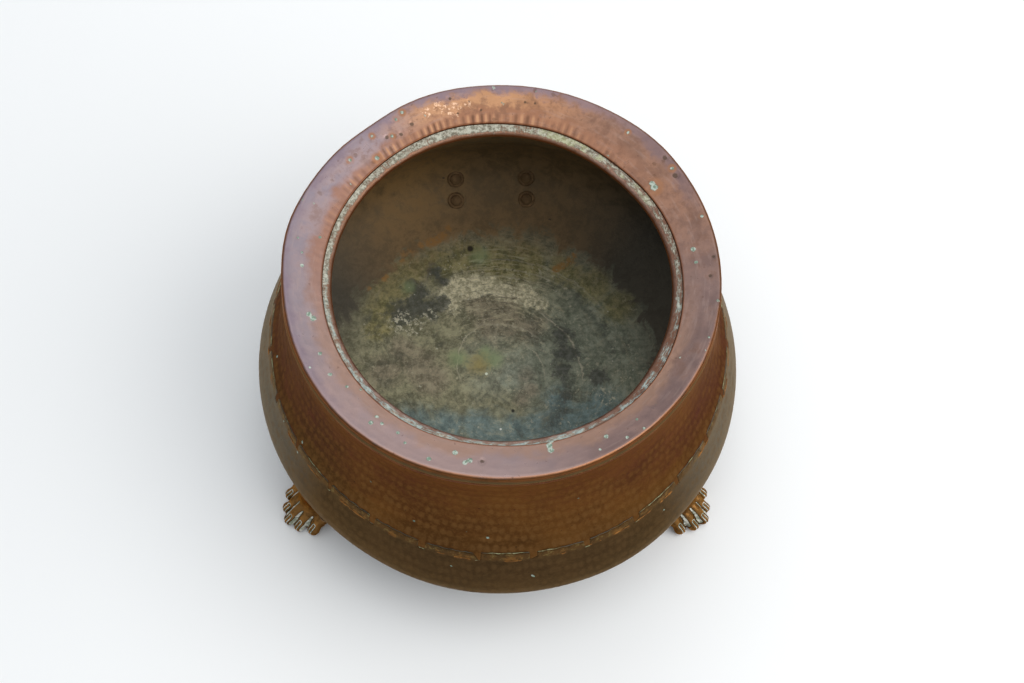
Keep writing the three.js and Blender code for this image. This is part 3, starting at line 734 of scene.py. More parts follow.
def inside_patina():
    """Olive stains, pale scale, dark and rusty patches, rings and specks of lime."""
    material, tree, shader, place = finish_of("bowl_copper_inside", (1.0, 0.85, 0.65))
    pot = round_the_axis(tree, place)
    clouds = noise(tree, pot.centred, 15.0, 8.0, 0.68, 0.4)
    blot = noise(tree, pot.centred, 34.0, 9.0, 0.72, 0.9)
    mottle = noise(tree, pot.centred, 70.0, 9.0, 0.78, 0.3)
    fleck = noise(tree, pot.centred, 210.0, 6.0, 0.75)
    grit = noise(tree, pot.centred, 150.0, 9.0, 0.8)
    texture = calc(tree, "ADD", scaled(tree, mottle, 0.5), scaled(tree, grit, 0.5))
    drawn = along_rings(tree, pot, 150.0, 2.6)
    stroke = noise(tree, drawn, 1.6, 8.0, 0.74, 0.5)

    def distance(x, y, wander, source):
        """How far a point of the floor lies from a place on it, made ragged by a noise."""
        away = add(tree, "ShaderNodeVectorMath", {0: pot.flat, 1: (x, y, 0)}, operation="DISTANCE")
        return calc(tree, "ADD", away.outputs["Value"], scaled(tree, source, wander, -wander / 2))

    def stained(kind, source, wander, low, high):
        """Where a kind of stain lies, with an edge as ragged as its noise."""
        mark = attribute(tree, kind)
        ragged = ramp(tree, calc(tree, "ADD", mark, scaled(tree, source, wander, -wander / 2)), low, high)
        return both(tree, ragged, ramp(tree, mark, 0.0, 0.12))

    def toned(source, dark, light):
        return mix(tree, ramp(tree, source, 0.40, 0.60), dark, light)

    def arcs(colour, rows, wander, tint):
        """Lays broken arcs of one colour over another."""
        for x, y, radius, width, azimuth, reach, share in rows:
            ring = distance(x, y, wander, mottle)
            ring = both(tree, ramp(tree, ring, radius - width, radius), ramp(tree, ring, radius + width, radius))
            ring = both(tree, ring, towards(tree, pot, azimuth, reach, 25), ramp(tree, fleck, 0.34, 0.50))
            colour = mix(tree, scaled(tree, ring, share), colour, tint)
        return colour

    # The far wall is lighter and browner than the dark sides: partly patina, partly painted light and shade.
    wall_tone = toned(mottle, (0.050, 0.046, 0.036), (0.084, 0.077, 0.060))
    far_wall = toned(mottle, (0.172, 0.110, 0.050), (0.280, 0.176, 0.082))
    wall_tone = mix(tree, towards(tree, pot, -168, 34, 44), wall_tone, far_wall)
    # Painted pool of light where the light falls in on the far left of the wall.
    painted_light_pool = both(tree, ramp(tree, distance(-0.115, 0.205, 0.05, clouds), 0.09, 0.01), ramp(tree, mottle, 0.3, 0.6))
    wall_tone = mix(tree, scaled(tree, painted_light_pool, 0.8), wall_tone, (0.37, 0.215, 0.078))
    wall_lines = both(tree, ramp(tree, stroke, 0.56, 0.68), ramp(tree, clouds, 0.42, 0.6))
    wall_tone = mix(tree, scaled(tree, wall_lines, 0.35), wall_tone, (0.20, 0.155, 0.095))

    colour = toned(texture, (0.120, 0.120, 0.072), (0.405, 0.385, 0.240))
    colour = mix(tree, scaled(tree, towards(tree, pot, 105, 45, 50), 0.75), colour,
                 toned(texture, (0.120, 0.150, 0.115), (0.34, 0.380, 0.300)))
    colour = mix(tree, scaled(tree, stained("moss", blot, 1.5, 0.10, 0.70), 0.8), colour,
                 toned(texture, (0.125, 0.120, 0.042), (0.43, 0.370, 0.150)))
    colour = mix(tree, scaled(tree, stained("teal", blot, 1.5, 0.05, 0.75), 0.85), colour,
                 toned(texture, (0.080, 0.138, 0.150), (0.210, 0.320, 0.330)))
    colour = mix(tree, scaled(tree, stained("brown", blot, 1.5, 0.1, 0.75), 0.7), colour,
                 toned(texture, (0.130, 0.110, 0.078), (0.38, 0.315, 0.225)))
    pale_middle = ramp(tree, distance(-0.004, 0.016, 0.06, blot), 0.048, 0.012)
    colour = mix(tree, scaled(tree, pale_middle, 0.55), colour,
                 toned(texture, (0.180, 0.205, 0.160), (0.43, 0.465, 0.375)))
    blots = both(tree, ramp(tree, blot, 0.50, 0.36), ramp(tree, fleck, 0.30, 0.52))
    colour = mix(tree, scaled(tree, blots, 0.6), colour, (0.060, 0.066, 0.052))
    scale_spots = both(tree, ramp(tree, blot, 0.52, 0.64), ramp(tree, mottle, 0.47, 0.58))
    colour = mix(tree, scaled(tree, scale_spots, 0.55), colour, (0.45, 0.42, 0.29))
    flecks = both(tree, ramp(tree, fleck, 0.56, 0.64), ramp(tree, clouds, 0.42, 0.58))
    colour = mix(tree, scaled(tree, flecks, 0.65), colour, (0.60, 0.55, 0.39))
    brushed = ramp(tree, distance(0.0, 0.095, 0.06, clouds), 0.080, 0.025)
    pale_strokes = both(tree, ramp(tree, stroke, 0.53, 0.61), scaled(tree, brushed, 0.65, 0.15))
    colour = mix(tree, pale_strokes, colour, (0.53, 0.475, 0.31))
    dark_strokes = both(tree, ramp(tree, stroke, 0.47, 0.36), scaled(tree, brushed, 0.5, 0.2))
    colour = mix(tree, dark_strokes, colour, (0.072, 0.074, 0.056))
    colour = arcs(colour, DARK_ARCS, 0.036, (0.060, 0.072, 0.064))
    colour = arcs(colour, SCALE_ARCS, 0.012, (0.56, 0.51, 0.38))
    cream = both(tree, stained("cream", mottle, 2.8, 0.02, 0.50), ramp(tree, stroke, 0.34, 0.50))
    colour = mix(tree, scaled(tree, cream, 0.85), colour, toned(fleck, (0.40, 0.365, 0.235), (0.88, 0.81, 0.56)))
    colour = mix(tree, scaled(tree, stained("dark", mottle, 3.0, 0.25, 0.62), 0.85), colour,
                 toned(fleck, (0.040, 0.048, 0.042), (0.098, 0.108, 0.098)))
    colour = mix(tree, both(tree, stained("lime", blot, 0.8, 0.15, 0.5), ramp(tree, fleck, 0.52, 0.60)), colour,
                 (0.58, 0.55, 0.41))
    colour = mix(tree, scaled(tree, stained("green", mottle, 1.8, 0.0, 0.9), 0.65), colour, (0.26, 0.345, 0.165))
    colour = mix(tree, scaled(tree, stained("gold", grit, 2.2, 0.0, 1.0), 0.75), colour, (0.38, 0.300, 0.095))
    specks = spots(tree, pot.centred, 150.0, 0.10, 0.16)
    colour = mix(tree, scaled(tree, specks, 0.6), colour, (0.62, 0.60, 0.48))

    edge = calc(tree, "ADD", pot.radius, scaled(tree, blot, 0.075, -0.0375))
    edge = calc(tree, "ADD", edge, scaled(tree, mottle, 0.045, -0.0225))
    stain = ramp(tree, edge, STAIN_RADIUS + 4 * MM, STAIN_RADIUS - 8 * MM)
    faded = ramp(tree, edge, STAIN_RADIUS - 2 * MM, STAIN_RADIUS - 34 * MM)
    colour = mix(tree, scaled(tree, faded, 0.4, 0.6), wall_tone, colour)
    colour = mix(tree, stain, wall_tone, colour)
    rust = both(tree, stained("rust", mottle, 2.4, 0.05, 0.60), ramp(tree, fleck, 0.36, 0.52))
    colour = mix(tree, scaled(tree, rust, 0.8), colour, (0.36, 0.175, 0.050))
    holes = spots(tree, pot.centred, 90.0, 0.06, 0.13)
    colour = mix(tree, scaled(tree, holes, 0.75), colour, (0.03, 0.03, 0.022))
    for x, y, size, tint in FLOOR_DOTS:
        dot = ramp(tree, distance(x, y, 0.002, mottle), size * 1.4, size * 0.6)
        colour = mix(tree, dot, colour, tint)
    tree.links.new(colour, shader.inputs["Base Color"])
    shader.inputs["Metallic"].default_value = 0.1
    tree.links.new(scaled(tree, mottle, 0.7, 0.25), shader.inputs["Roughness"])
    relief(tree, shader, calc(tree, "ADD", texture, scaled(tree, fleck, 0.5)), 0.35 * MM)
    return material


bowl_copper_inside = inside_patina()
print("inside finish", bowl_copper_inside.name)

# %% [markdown]
# ## The cramped seam
# The bowl's upper edge was cut into tabs, the tabs were lapped over the shoulder and brazed, and the joint was
# hammered flat, so the shoulder's copper fills the slots. No two tabs are cut alike. One table of slot edges
# and one of tab tops serve the bowl, the shoulder and the braze, so that all three always meet.

# %% Tabs and slots
SLOT_JITTER = 0.9 * MM
TOP_JITTER = 1.1 * MM
SEAM_CALM = 11 * MM
cuts = np.random.default_rng(27)
slot_left, slot_right = cuts.uniform(-1, 1, (2, TAB_COUNT)) * SLOT_JITTER
top_start, top_end = cuts.uniform(-1, 1, (2, TAB_COUNT)) * TOP_JITTER


def wall_radius(depth):
    return np.interp(depth, wall[:, 1], wall[:, 0])


SEAM_RADIUS = float(wall_radius(SEAM_DEPTH))


def slot_edges(i):
    """Azimuths of the left and right edge of a slot."""
    centre = FIRST_SLOT + i * TAB_PITCH
    k = i % TAB_COUNT
    return (centre + (slot_left[k] - SLOT_WIDTH / 2) / SEAM_RADIUS,
            centre + (slot_right[k] + SLOT_WIDTH / 2) / SEAM_RADIUS)


def slot_place(azimuth):
    """For each azimuth its nearest slot, and how far it lies outside that slot, in metres, negative inside."""
    slot = np.round((azimuth - FIRST_SLOT) / TAB_PITCH).astype(int)
    centre = FIRST_SLOT + slot * TAB_PITCH
    across = (azimuth - centre) * SEAM_RADIUS
    k = slot % TAB_COUNT
    outside = np.maximum(slot_left[k] - SLOT_WIDTH / 2 - across, across - slot_right[k] - SLOT_WIDTH / 2)
    return slot, outside


def tab_top(azimuth):
    """Depth of the tab tops: each slopes a little, and hand filing left it wavy."""
    place = (azimuth - FIRST_SLOT) / TAB_PITCH
    tab = np.floor(place).astype(int) % TAB_COUNT
    share = place - np.floor(place)
    slope = top_start[tab] * (1 - share) + top_end[tab] * share
    return SEAM_DEPTH - TAB_HEIGHT + slope + 0.3 * MM * np.sin(azimuth * 110)


def calm(depth):
    """0 at the seam, where the sheet was hammered flat, and 1 away from it."""
    return smooth(np.abs(depth - SEAM_DEPTH + TAB_HEIGHT / 2) / SEAM_CALM)


def cleared(azimuth):
    """Warps even azimuths so that a column of points runs along each edge of each slot."""
    place = (azimuth - FIRST_SLOT) / TAB_PITCH + 0.5
    slot = np.floor(place).astype(int)
    share = place - slot - 0.5
    k = slot % TAB_COUNT
    half = SLOT_COLUMNS / TAB_COLUMNS / 2
    centre = FIRST_SLOT + slot * TAB_PITCH
    left = (slot_left[k] - SLOT_WIDTH / 2) / SEAM_RADIUS
    right = (slot_right[k] + SLOT_WIDTH / 2) / SEAM_RADIUS
    rest = TAB_PITCH / 2
    inside = left + (share + half) / (2 * half) * (right - left)
    before = -rest + (share + 0.5) / (0.5 - half) * (left + rest)
    after = right + (share - half) / (0.5 - half) * (rest - right)
    return centre + np.where(share < -half, before, np.where(share > half, after, inside))


TOP_BRAZE = [(-50.4, -44.7), (-29.5, -28.6), (0.3, 9.9), (12.9, 18.8), (32.6, 34), (39.6, 50.2)]
ROOT_WEAR = [(-50, -44), (-38, -29.5), (-23.5, -20.8), (-11.4, -8.4), (-7.1, -2.4), (4.9, 9.5), (18.3, 20.2),
             (25, 26.6), (27.6, 29), (31.6, 36.6), (37.9, 43.2), (45.5, 50.2)]
SEEN_HALF = 53


def runs(azimuth, ranges, seed):
    """1 inside the listed runs, in degrees, 0 outside; beyond the seen front the runs come from broad waves."""
    degrees = (np.degrees(azimuth) + 180) % 360 - 180
    total = np.zeros_like(degrees)
    for start, end in ranges:
        total = np.maximum(total, smooth((degrees - start) / 0.6) * smooth((end - degrees) / 0.6))
    waves = dent(azimuth * 6, azimuth * 0, seed, 9, 1)
    return np.where(np.abs(degrees) < SEEN_HALF, total, smooth(waves * 6))


TAB_COLUMNS = 28
SLOT_COLUMNS = 4
print("tabs", TAB_COUNT, "each about", round(TAB_PITCH * SEAM_RADIUS / MM), "mm from slot to slot")

# %% [markdown]
# ## Upper body
# The neck stands almost upright under the rim and flares to the shoulder. Its lower edge runs on inside the
# bowl's tabs. Just above them it swells out flush with their faces, and between them it fills the slots.

# %% Upper body
OUTSIDE_STEP = 1.5 * MM
BODY_AROUND = TAB_COUNT * 32
LAP_BELOW_SEAM = 5 * MM
NECK_TOP = 4.5 * MM
SWELL = SHEET + CLEARANCE - 0.12 * MM
SWELL_REACH = 16 * MM
NECK_SWELL_REACH = 34 * MM
BODY_MARK = 0.16 * MM
WALL_SPECKS = [(1.0, 110, 1.3), (-17.7, 110, 1.0), (-53.8, 124, 1.2), (24, 70, 0.9), (-31, 88, 0.9)]

lap_end = SEAM_DEPTH + LAP_BELOW_SEAM
body_wall = wall[wall[:, 1] < lap_end]
body_outer = inset(resample(body_wall, OUTSIDE_STEP), SHEET + CLEARANCE)
body_inner = inset(resample(body_wall, 3 * OUTSIDE_STEP), 2 * SHEET + CLEARANCE)
body_outer = np.concatenate([[[body_outer[0, 0], NECK_TOP]], body_outer])
body_inner = np.concatenate([[[body_inner[0, 0], NECK_TOP]], body_inner])
body_path = closed_path(body_outer, body_inner)
body_counts = np.where(np.arange(len(body_path)) < len(body_outer), BODY_AROUND, BODY_AROUND // 2)


def salt_marks(azimuth, depth, radius, specks, reach=1.8):
    """Marks for small salt specks on the wall, from (azimuth in degrees, depth and half width in mm)."""
    total = np.zeros_like(azimuth)
    for place, down, size in specks:
        away = (np.degrees(azimuth) - place + 180) % 360 - 180
        distance = np.hypot(np.radians(away) * radius, depth - down * MM)
        total = np.maximum(total, 1 - distance / (reach * size * MM))
    return total


def shape_body(points):
    outside = points.row < len(body_outer)
    marks = hammer(points.azimuth, points.along, points.radius, seed=3)
    slow = (dent(points.azimuth, points.depth, 3, 8, 60 * MM) + 1) / 2 * 0.5 * MM
    _, from_slot = slot_place(points.azimuth)
    below_top = points.depth - tab_top(points.azimuth)
    above = smooth(1 + below_top / SWELL_REACH) * (1 - smooth(below_top / MM - 0.2))
    in_slot = (1 - smooth(from_slot / (1.4 * MM) - 0.2)) * (1 - smooth((points.depth - SEAM_DEPTH) / MM - 0.2))
    under_skirt = 1 - smooth((points.depth - SKIRT_DEPTH) / NECK_SWELL_REACH)
    under_skirt *= smooth((points.depth - SKIRT_DEPTH + MM) / MM)
    swell = np.where(outside, SWELL * np.maximum(np.maximum(above, under_skirt), in_slot * (below_top > -MM)), 0)
    still = calm(points.depth)
    points.inwards = np.where(outside, (slow + (1 - marks) * BODY_MARK) * still + 0.05 * MM, -slow * still) - swell
    points.radius = points.radius + wall_bulge(points.azimuth, points.depth)
    shadow = np.exp(-((below_top + 0.2 * MM) / (0.9 * MM)) ** 2) * (from_slot > 0)
    points.marks = {"ridge": marks * outside * (0.4 + 0.6 * still), "worn": np.zeros_like(marks),
                    "tab_shadow": shadow * outside,
                    "salt": salt_marks(points.azimuth, points.depth, points.radius, WALL_SPECKS) * outside}


upper_body = turned("upper_body_sheet", body_path, body_counts, shape_body, shoulder_copper)
line_inside(upper_body, bowl_copper_inside)
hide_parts("upper_body")
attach(upper_body, "root")

# %% [markdown]
# ## Lower bowl
# One sheet from the tops of its tabs round the belly to the middle of the floor. The columns of points are
# warped to run along the slots, and the slots are cut by leaving out the faces between them. The inside is
# stained and almost without marks, so it has its own material.

# %% Lower bowl
BOWL_AROUND = TAB_COUNT * TAB_COLUMNS
VISIBLE_STEP = 1.9 * MM
FOOT_OF_WALL = 150 * MM
BOWL_MARK = 0.15 * MM
BOWL_SPECKS = [(11.7, 158, 1.2), (11.9, 160.5, 1.0), (-6.9, 150, 1.0), (-53.8, 139.5, 1.1)]

bowl_wall = wall[wall[:, 1] > SEAM_DEPTH - TAB_HEIGHT]
visible_wall = bowl_wall[bowl_wall[:, 0] > FOOT_OF_WALL]
under_wall = bowl_wall[bowl_wall[:, 0] <= FOOT_OF_WALL]
bowl_outer = np.concatenate([resample(visible_wall, VISIBLE_STEP), resample(under_wall, 3.5 * MM)[1:]])
bowl_inner = inset(resample(bowl_wall, 3 * MM), SHEET)
bowl_outer[-1, 0] = 0
bowl_inner[-1, 0] = 0
bowl_path = closed_path(bowl_outer, bowl_inner)


def bowl_counts(path, outer_rows):
    """Points in each row: full on the visible outside, halved as the rows get shorter, one on the axis."""
    counts = []
    for i, (radius, _) in enumerate(path):
        count = BOWL_AROUND if i < outer_rows else BOWL_AROUND // 2
        while count % 2 == 0 and 2 * math.pi * radius / count < 1.1 * MM:
            count //= 2
        counts.append(1 if radius < 1e-6 else count)
    return np.array(counts)


FLOOR_STAINS = {  # x, y and half width in millimetres, from the middle of the floor
    "cream": [(-53, 76, 8), (-54, 88, 9), (-46, 99, 10), (-31, 101, 10), (-15, 100, 9), (1, 98, 8), (15, 96, 8),
              (28, 91, 7), (38, 84, 5), (22, 93, 6)],
    "dark": [(-100, 62, 12), (-86, 72, 12), (-70, 72, 12), (-60, 80, 7), (-84, 86, 9), (-93, 94, 7), (-72, 112, 8),
             (-62, 104, 7), (62, 52, 9), (66, 34, 10), (62, 18, 9), (100, 12, 9)],
    "lime": [(-100, 57, 9), (-88, 51, 9), (-104, 48, 5), (-80, 60, 5), (108, -11, 8), (-70, 66, 5)],
    "moss": [(-112, 86, 18), (-120, 66, 16), (-122, 44, 12), (-100, 108, 16), (-66, 120, 16),
             (-40, 128, 18), (-12, 126, 18), (20, 128, 18), (60, 122, 16), (90, 110, 16), (118, 88, 16)],
    "teal": [(-16, -48, 15), (-2, -60, 18), (22, -53, 16), (45, -48, 20), (-45, -56, 18), (10, -80, 34),
             (70, -42, 24), (-78, -52, 18), (62, -16, 14), (100, -30, 24)],
    "brown": [(28, 8, 9), (32, -6, 9), (25, -18, 8), (10, 62, 16), (-10, 58, 16), (30, 60, 14), (-80, 10, 17),
              (-66, -2, 16), (-95, 22, 14), (0, 80, 16), (-25, 80, 14), (-110, 0, 16)],
    "gold": [(-20, 16, 10)],
    "green": [(-6, 23, 9), (-14, 29, 7), (-28, 132, 9), (-96, 92, 6), (-40, 20, 8)],
    "rust": [(-87, 137, 2.6), (-83, 139, 2.6), (-79, 141, 3), (-75, 143, 2.6), (-71, 145, 2.6), (-68, 149, 2.2),
             (-65, 152, 2.4), (-61, 158, 2.2), (-102, 126, 2.8), (-97, 130, 2.2), (-105, 119, 1.8),
             (50, 123, 2.6), (54, 126, 2.6), (58, 128, 3.2), (62, 131, 2.6), (65, 134, 3), (68, 139, 2.2),
             (-134, 85, 2.2), (-118, 100, 2), (-121, 96, 2)]}


def blot_marks(x, y, blots, reach=1.8):
    """1 in the middle of each blot, 0 from beyond its reach, for blots given in millimetres."""
    total = np.zeros_like(x)
    for blot_x, blot_y, size in blots:
        away = np.hypot(x - blot_x * MM, y - blot_y * MM)
        total = np.maximum(total, 1 - away / (reach * size * MM))
    return total


def shape_bowl(points):
    outside = points.row < len(bowl_outer)
    points.azimuth = cleared(points.azimuth)
    marks = hammer(points.azimuth, points.along, np.maximum(points.radius, 3 * MM), seed=5)
    above_root = np.clip(SEAM_DEPTH - points.depth, 0, TAB_HEIGHT)
    height = SEAM_DEPTH - tab_top(points.azimuth)
    new_depth = points.depth + above_root * (1 - height / TAB_HEIGHT)
    points.radius = points.radius + wall_radius(new_depth) - wall_radius(points.depth)
    points.depth = new_depth
    slow = (dent(points.azimuth, points.along, 7, 8, 60 * MM) + 1) / 2 * 0.6 * MM
    slow *= np.clip(points.radius / (60 * MM), 0, 1) * calm(points.depth)
    pressed = (1 - marks) * np.where(outside, BOWL_MARK, 0.10 * MM) * calm(points.depth)
    points.inwards = np.where(outside, slow, -slow) + pressed + 0.05 * MM * outside
    points.radius = points.radius + wall_bulge(points.azimuth, points.depth)
    root = points.depth - SEAM_DEPTH + 2.4 * MM
    shadow = np.exp(-((above_root - height + 0.6 * MM) / (1.0 * MM)) ** 2)
    x = points.radius * np.sin(points.azimuth)
    y = -points.radius * np.cos(points.azimuth)
    points.marks = {kind: blot_marks(x, y, blots) * ~outside for kind, blots in FLOOR_STAINS.items()}
    tab = smooth(above_root / (3 * MM)) * (1 - smooth((above_root - height) / MM)) * outside
    points.marks |= {"ridge": marks * (0.4 + 0.6 * calm(points.depth)), "tab": tab,
                    "worn": np.exp(-(root / (3.0 * MM)) ** 2) * outside * runs(points.azimuth, ROOT_WEAR, 6),
                    "tab_shadow": shadow * outside,
                    "salt": salt_marks(points.azimuth, points.depth, points.radius, BOWL_SPECKS) * outside}


def cut_slots(piece):
    """Takes out the faces of the slots between the tabs and closes the cut edges."""
    mesh = bmesh.new()
    mesh.from_mesh(piece.data)
    root = TOTAL_HEIGHT - SEAM_DEPTH
    centres = [face.calc_center_median() - AXIS for face in mesh.faces]
    azimuth = np.array([math.atan2(centre.x, -centre.y) for centre in centres])
    _, from_slot = slot_place(azimuth)
    gone = [face for face, centre, away in zip(mesh.faces, centres, from_slot) if away < 0 and centre.z > root]
    bmesh.ops.delete(mesh, geom=gone, context="FACES")
    bmesh.ops.holes_fill(mesh, edges=[e for e in mesh.edges if e.is_boundary], sides=0)
    bmesh.ops.triangulate(mesh, faces=[f for f in mesh.faces if len(f.verts) > 4])
    bmesh.ops.recalc_face_normals(mesh, faces=mesh.faces)
    mesh.to_mesh(piece.data)
    mesh.free()
    piece.data.shade_smooth()


bowl = turned("lower_bowl_sheet", bowl_path, bowl_counts(bowl_path, len(bowl_outer)), shape_bowl,
              bowl_copper_outside)
cut_slots(bowl)
line_inside(bowl, bowl_copper_inside)
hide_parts("lower_bowl")
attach(bowl, "root")
print("bowl", len(bowl.data.polygons), "faces after the slots")

# %% [markdown]
# ## Rim flange
# The skirt rises, rounds the corner and becomes a broad plate that falls gently towards the mouth. It was
# planished with a larger hammer, whose marks run out as short flutes beside the mouth. The stains that the
# photograph shows, and a few painted glints, are listed by pixel, with their half width in millimetres, and
# looked up on the plate.

# %% Stains of the rim
STAIN_PIXELS = {
    "salt": [(654, 187, 3.0), (652, 183, 2.0), (551, 440, 1.8), (549, 445, 2.3), (551, 450, 2.2), (465, 462, 1.9),
             (470, 460, 1.9), (309, 314, 2.2), (330, 374, 1.6), (320, 353, 1.5), (347, 386, 1.2),
             (310, 367, 1.0), (361, 389, 0.9), (709, 337, 1.0), (313, 318, 2.4), (402, 112, 1.4), (396, 119, 1.2), (392, 136, 1.3), (372, 136, 1.2), (350, 160, 1.4),
             (377, 158, 1.8), (628, 132, 1.2), (672, 168, 1.5), (693, 249, 2.0), (702, 216, 1.2),
             (644, 428, 1.2), (627, 437, 1.3), (600, 449, 1.1), (606, 436, 1.6), (637, 419, 1.1),
             (377, 416, 1.4), (371, 422, 1.8), (382, 423, 1.3), (398, 432, 1.5), (405, 442, 1.1), (455, 452, 2.0),
             (429, 458, 1.7), (320, 237, 1.2), (298, 237, 1.0), (302, 252, 1.0), (302, 265, 1.4), (696, 262, 1.4)],
    "pit": [(412, 124, 1.9), (401, 134, 1.8), (387, 137, 1.9), (450, 98, 1.5), (458, 113, 1.2), (481, 110, 1.3),
            (469, 101, 1.1), (525, 102, 1.3), (535, 103, 1.1), (482, 461, 1.9), (675, 175, 2.4), (665, 157, 2.2),
            (713, 256, 1.3), (710, 275, 1.5)],
    # The bright dots are painted glints.
    "bright": [(440, 107, 4.0), (454, 110, 4.5), (426, 112, 3.0), (468, 104, 2.2)],
}
stain_places = {kind: [(*on_flange(pixel[:2]), pixel[2] * MM) for pixel in pixels]
                for kind, pixels in STAIN_PIXELS.items()}
print("stains on the rim", {kind: len(places) for kind, places in stain_places.items()})


def stain_marks(points, kind, reach=1.8):
    """1 in the middle of a stain of one kind, falling to 0 and below outside it."""
    x = points.radius * np.sin(points.azimuth)
    y = -points.radius * np.cos(points.azimuth) - leaned(points.radius)
    total = np.full(len(x), -1.0)
    for place_x, place_y, size in stain_places[kind]:
        total = np.maximum(total, 1 - np.hypot(x - place_x, y - place_y) / (reach * size))
    return total


# %% Rim flange
FLANGE_AROUND = 1152
FLANGE_STEP = 1.0 * MM
FLUTE_COUNT = 132
FLUTE_LENGTH = 11 * MM
FLUTE_DEPTH = 0.32 * MM
BEAD_DEPTH = 6.6 * MM
BEAD_HEIGHT = 1.9 * MM
PLANISH_WIDTH = 9 * MM
DRAWN_REACH = 16 * MM


def flange_surface(distance, spacing):
    """The path up the skirt, round the corner and in to the mouth, a distance under the upper face."""
    radius = CORNER_RADIUS - distance
    turn = np.linspace(0, math.pi / 2 + FLANGE_SLOPE, 24)
    corner = np.stack([CROWN_RADIUS + radius * np.cos(turn), CORNER_RADIUS - radius * np.sin(turn)], axis=1)
    run = corner[-1, 0] - FLANGE_INNER_RADIUS
    inner = corner[-1] + np.array([-run, run * math.tan(FLANGE_SLOPE)])
    lower = np.array([RIM_RADIUS - distance, SKIRT_DEPTH])
    return resample(np.concatenate([[lower], corner, [inner]]), spacing)


flange_outer = flange_surface(0, FLANGE_STEP)
flange_inner = flange_surface(SHEET, 3 * MM)
flange_path = closed_path(flange_outer, flange_inner)


def turn_towards(azimuth, centre, reach):
    """1 at an azimuth in degrees, falling off smoothly on both sides."""
    away = (np.degrees(azimuth) - centre + 180) % 360 - 180
    return np.exp(-(away / reach) ** 2)


def shape_flange(points):
    outside = points.row < len(flange_outer)
    marks = hammer(points.azimuth, points.along, points.radius, PLANISH_WIDTH, PLANISH_WIDTH, 0.35, seed=9)
    corner_turn = np.degrees(np.arctan2(CORNER_RADIUS - points.depth, points.radius - CROWN_RADIUS))
    corner_turn = np.where(points.radius < CROWN_RADIUS, 90, corner_turn)
    on_plate = (points.depth > CORNER_RADIUS / 2) & (points.radius < CROWN_RADIUS)
    length = FLUTE_LENGTH * (1 + 0.3 * dent(points.azimuth * 4, points.along * 0, 31, 12, MM))
    flute_share = 1 - np.clip((points.radius - FLANGE_INNER_RADIUS) / length, 0, 1)
    wander = 2.4 * np.sin(points.azimuth * 7) + 1.3 * np.sin(points.azimuth * 19 + 1)
    ripple = (np.sin(points.azimuth * FLUTE_COUNT + wander) + 1) / 2
    strength = 0.12 + turn_towards(points.azimuth, -160, 50) * (0.7 + 0.3 * np.sin(points.azimuth * 23))
    flutes = ripple * smooth(flute_share * 1.6) * on_plate * strength
    past_bead = (points.depth - BEAD_DEPTH) / (SKIRT_DEPTH - BEAD_DEPTH)
    bead_share = np.where(past_bead < 0, smooth(1 + (points.depth - BEAD_DEPTH) / (1.6 * MM)),
                          np.exp(-past_bead * 2.2))
    from_front = np.abs((np.degrees(points.azimuth) + 180) % 360 - 180)
    bead_swell = BEAD_HEIGHT * bead_share * (points.radius > CROWN_RADIUS) * smooth((88 - from_front) / 26)
    upright = (points.radius > CROWN_RADIUS) * outside
    slow = (dent(points.azimuth, points.along, 12, 9, 40 * MM) + 1) / 2 * 0.8 * MM
    pits = smooth(stain_marks(points, "pit") * 2.5)
    pressed = (1 - marks) * 0.13 * MM + flutes * FLUTE_DEPTH + pits * 0.35 * MM + 0.12 * MM
    points.inwards = np.where(outside, pressed + slow - bead_swell, -slow)
    # Painted light and shade of the flutes, in step with their ripple.
    flute_light_and_shade = (ripple * 2 - 1) * smooth(flute_share * 2) * on_plate * outside * strength
    plate_radius = points.radius
    drawn_in(points, PLATE_DRAWN_IN, smooth(1 - (points.radius - FLANGE_INNER_RADIUS) / DRAWN_REACH))
    outer_share = smooth((points.radius - FLANGE_INNER_RADIUS) / (RIM_RADIUS - FLANGE_INNER_RADIUS))
    points.radius = points.radius + bulge(points.azimuth, RIM_BULGES) * outer_share
    points.marks = {"skirt": smooth((72 - corner_turn) / 30) * (corner_turn < 80),
                    "worn": np.exp(-((corner_turn - 68) / 10) ** 2) * outside,
                    "neck": smooth((BEAD_DEPTH - MM - points.depth) / MM) * upright * (corner_turn < 60),
                    "lip": np.exp(-((points.depth - BEAD_DEPTH + 0.5 * MM) / (1.0 * MM)) ** 2) * upright,
                    "flute": flute_light_and_shade, "plate_radius": plate_radius,
                    "salt": stain_marks(points, "salt"), "pit": stain_marks(points, "pit"),
                    "bright": stain_marks(points, "bright")}


flange_counts = np.where(np.arange(len(flange_path)) < len(flange_outer), FLANGE_AROUND, FLANGE_AROUND // 2)
flange = turned("rim_flange_sheet", flange_path, flange_counts, shape_flange, rim_copper, lean=True)
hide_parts("rim_flange")
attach(flange, "root")

# %% [markdown]
# ## Mouth ring
# A copper strip is soldered under the flange, and its inner edge is rolled round an iron wire. Pale salts
# lie in streaks over the strip's outer part, against the flange, and leave the crest of the roll bare.

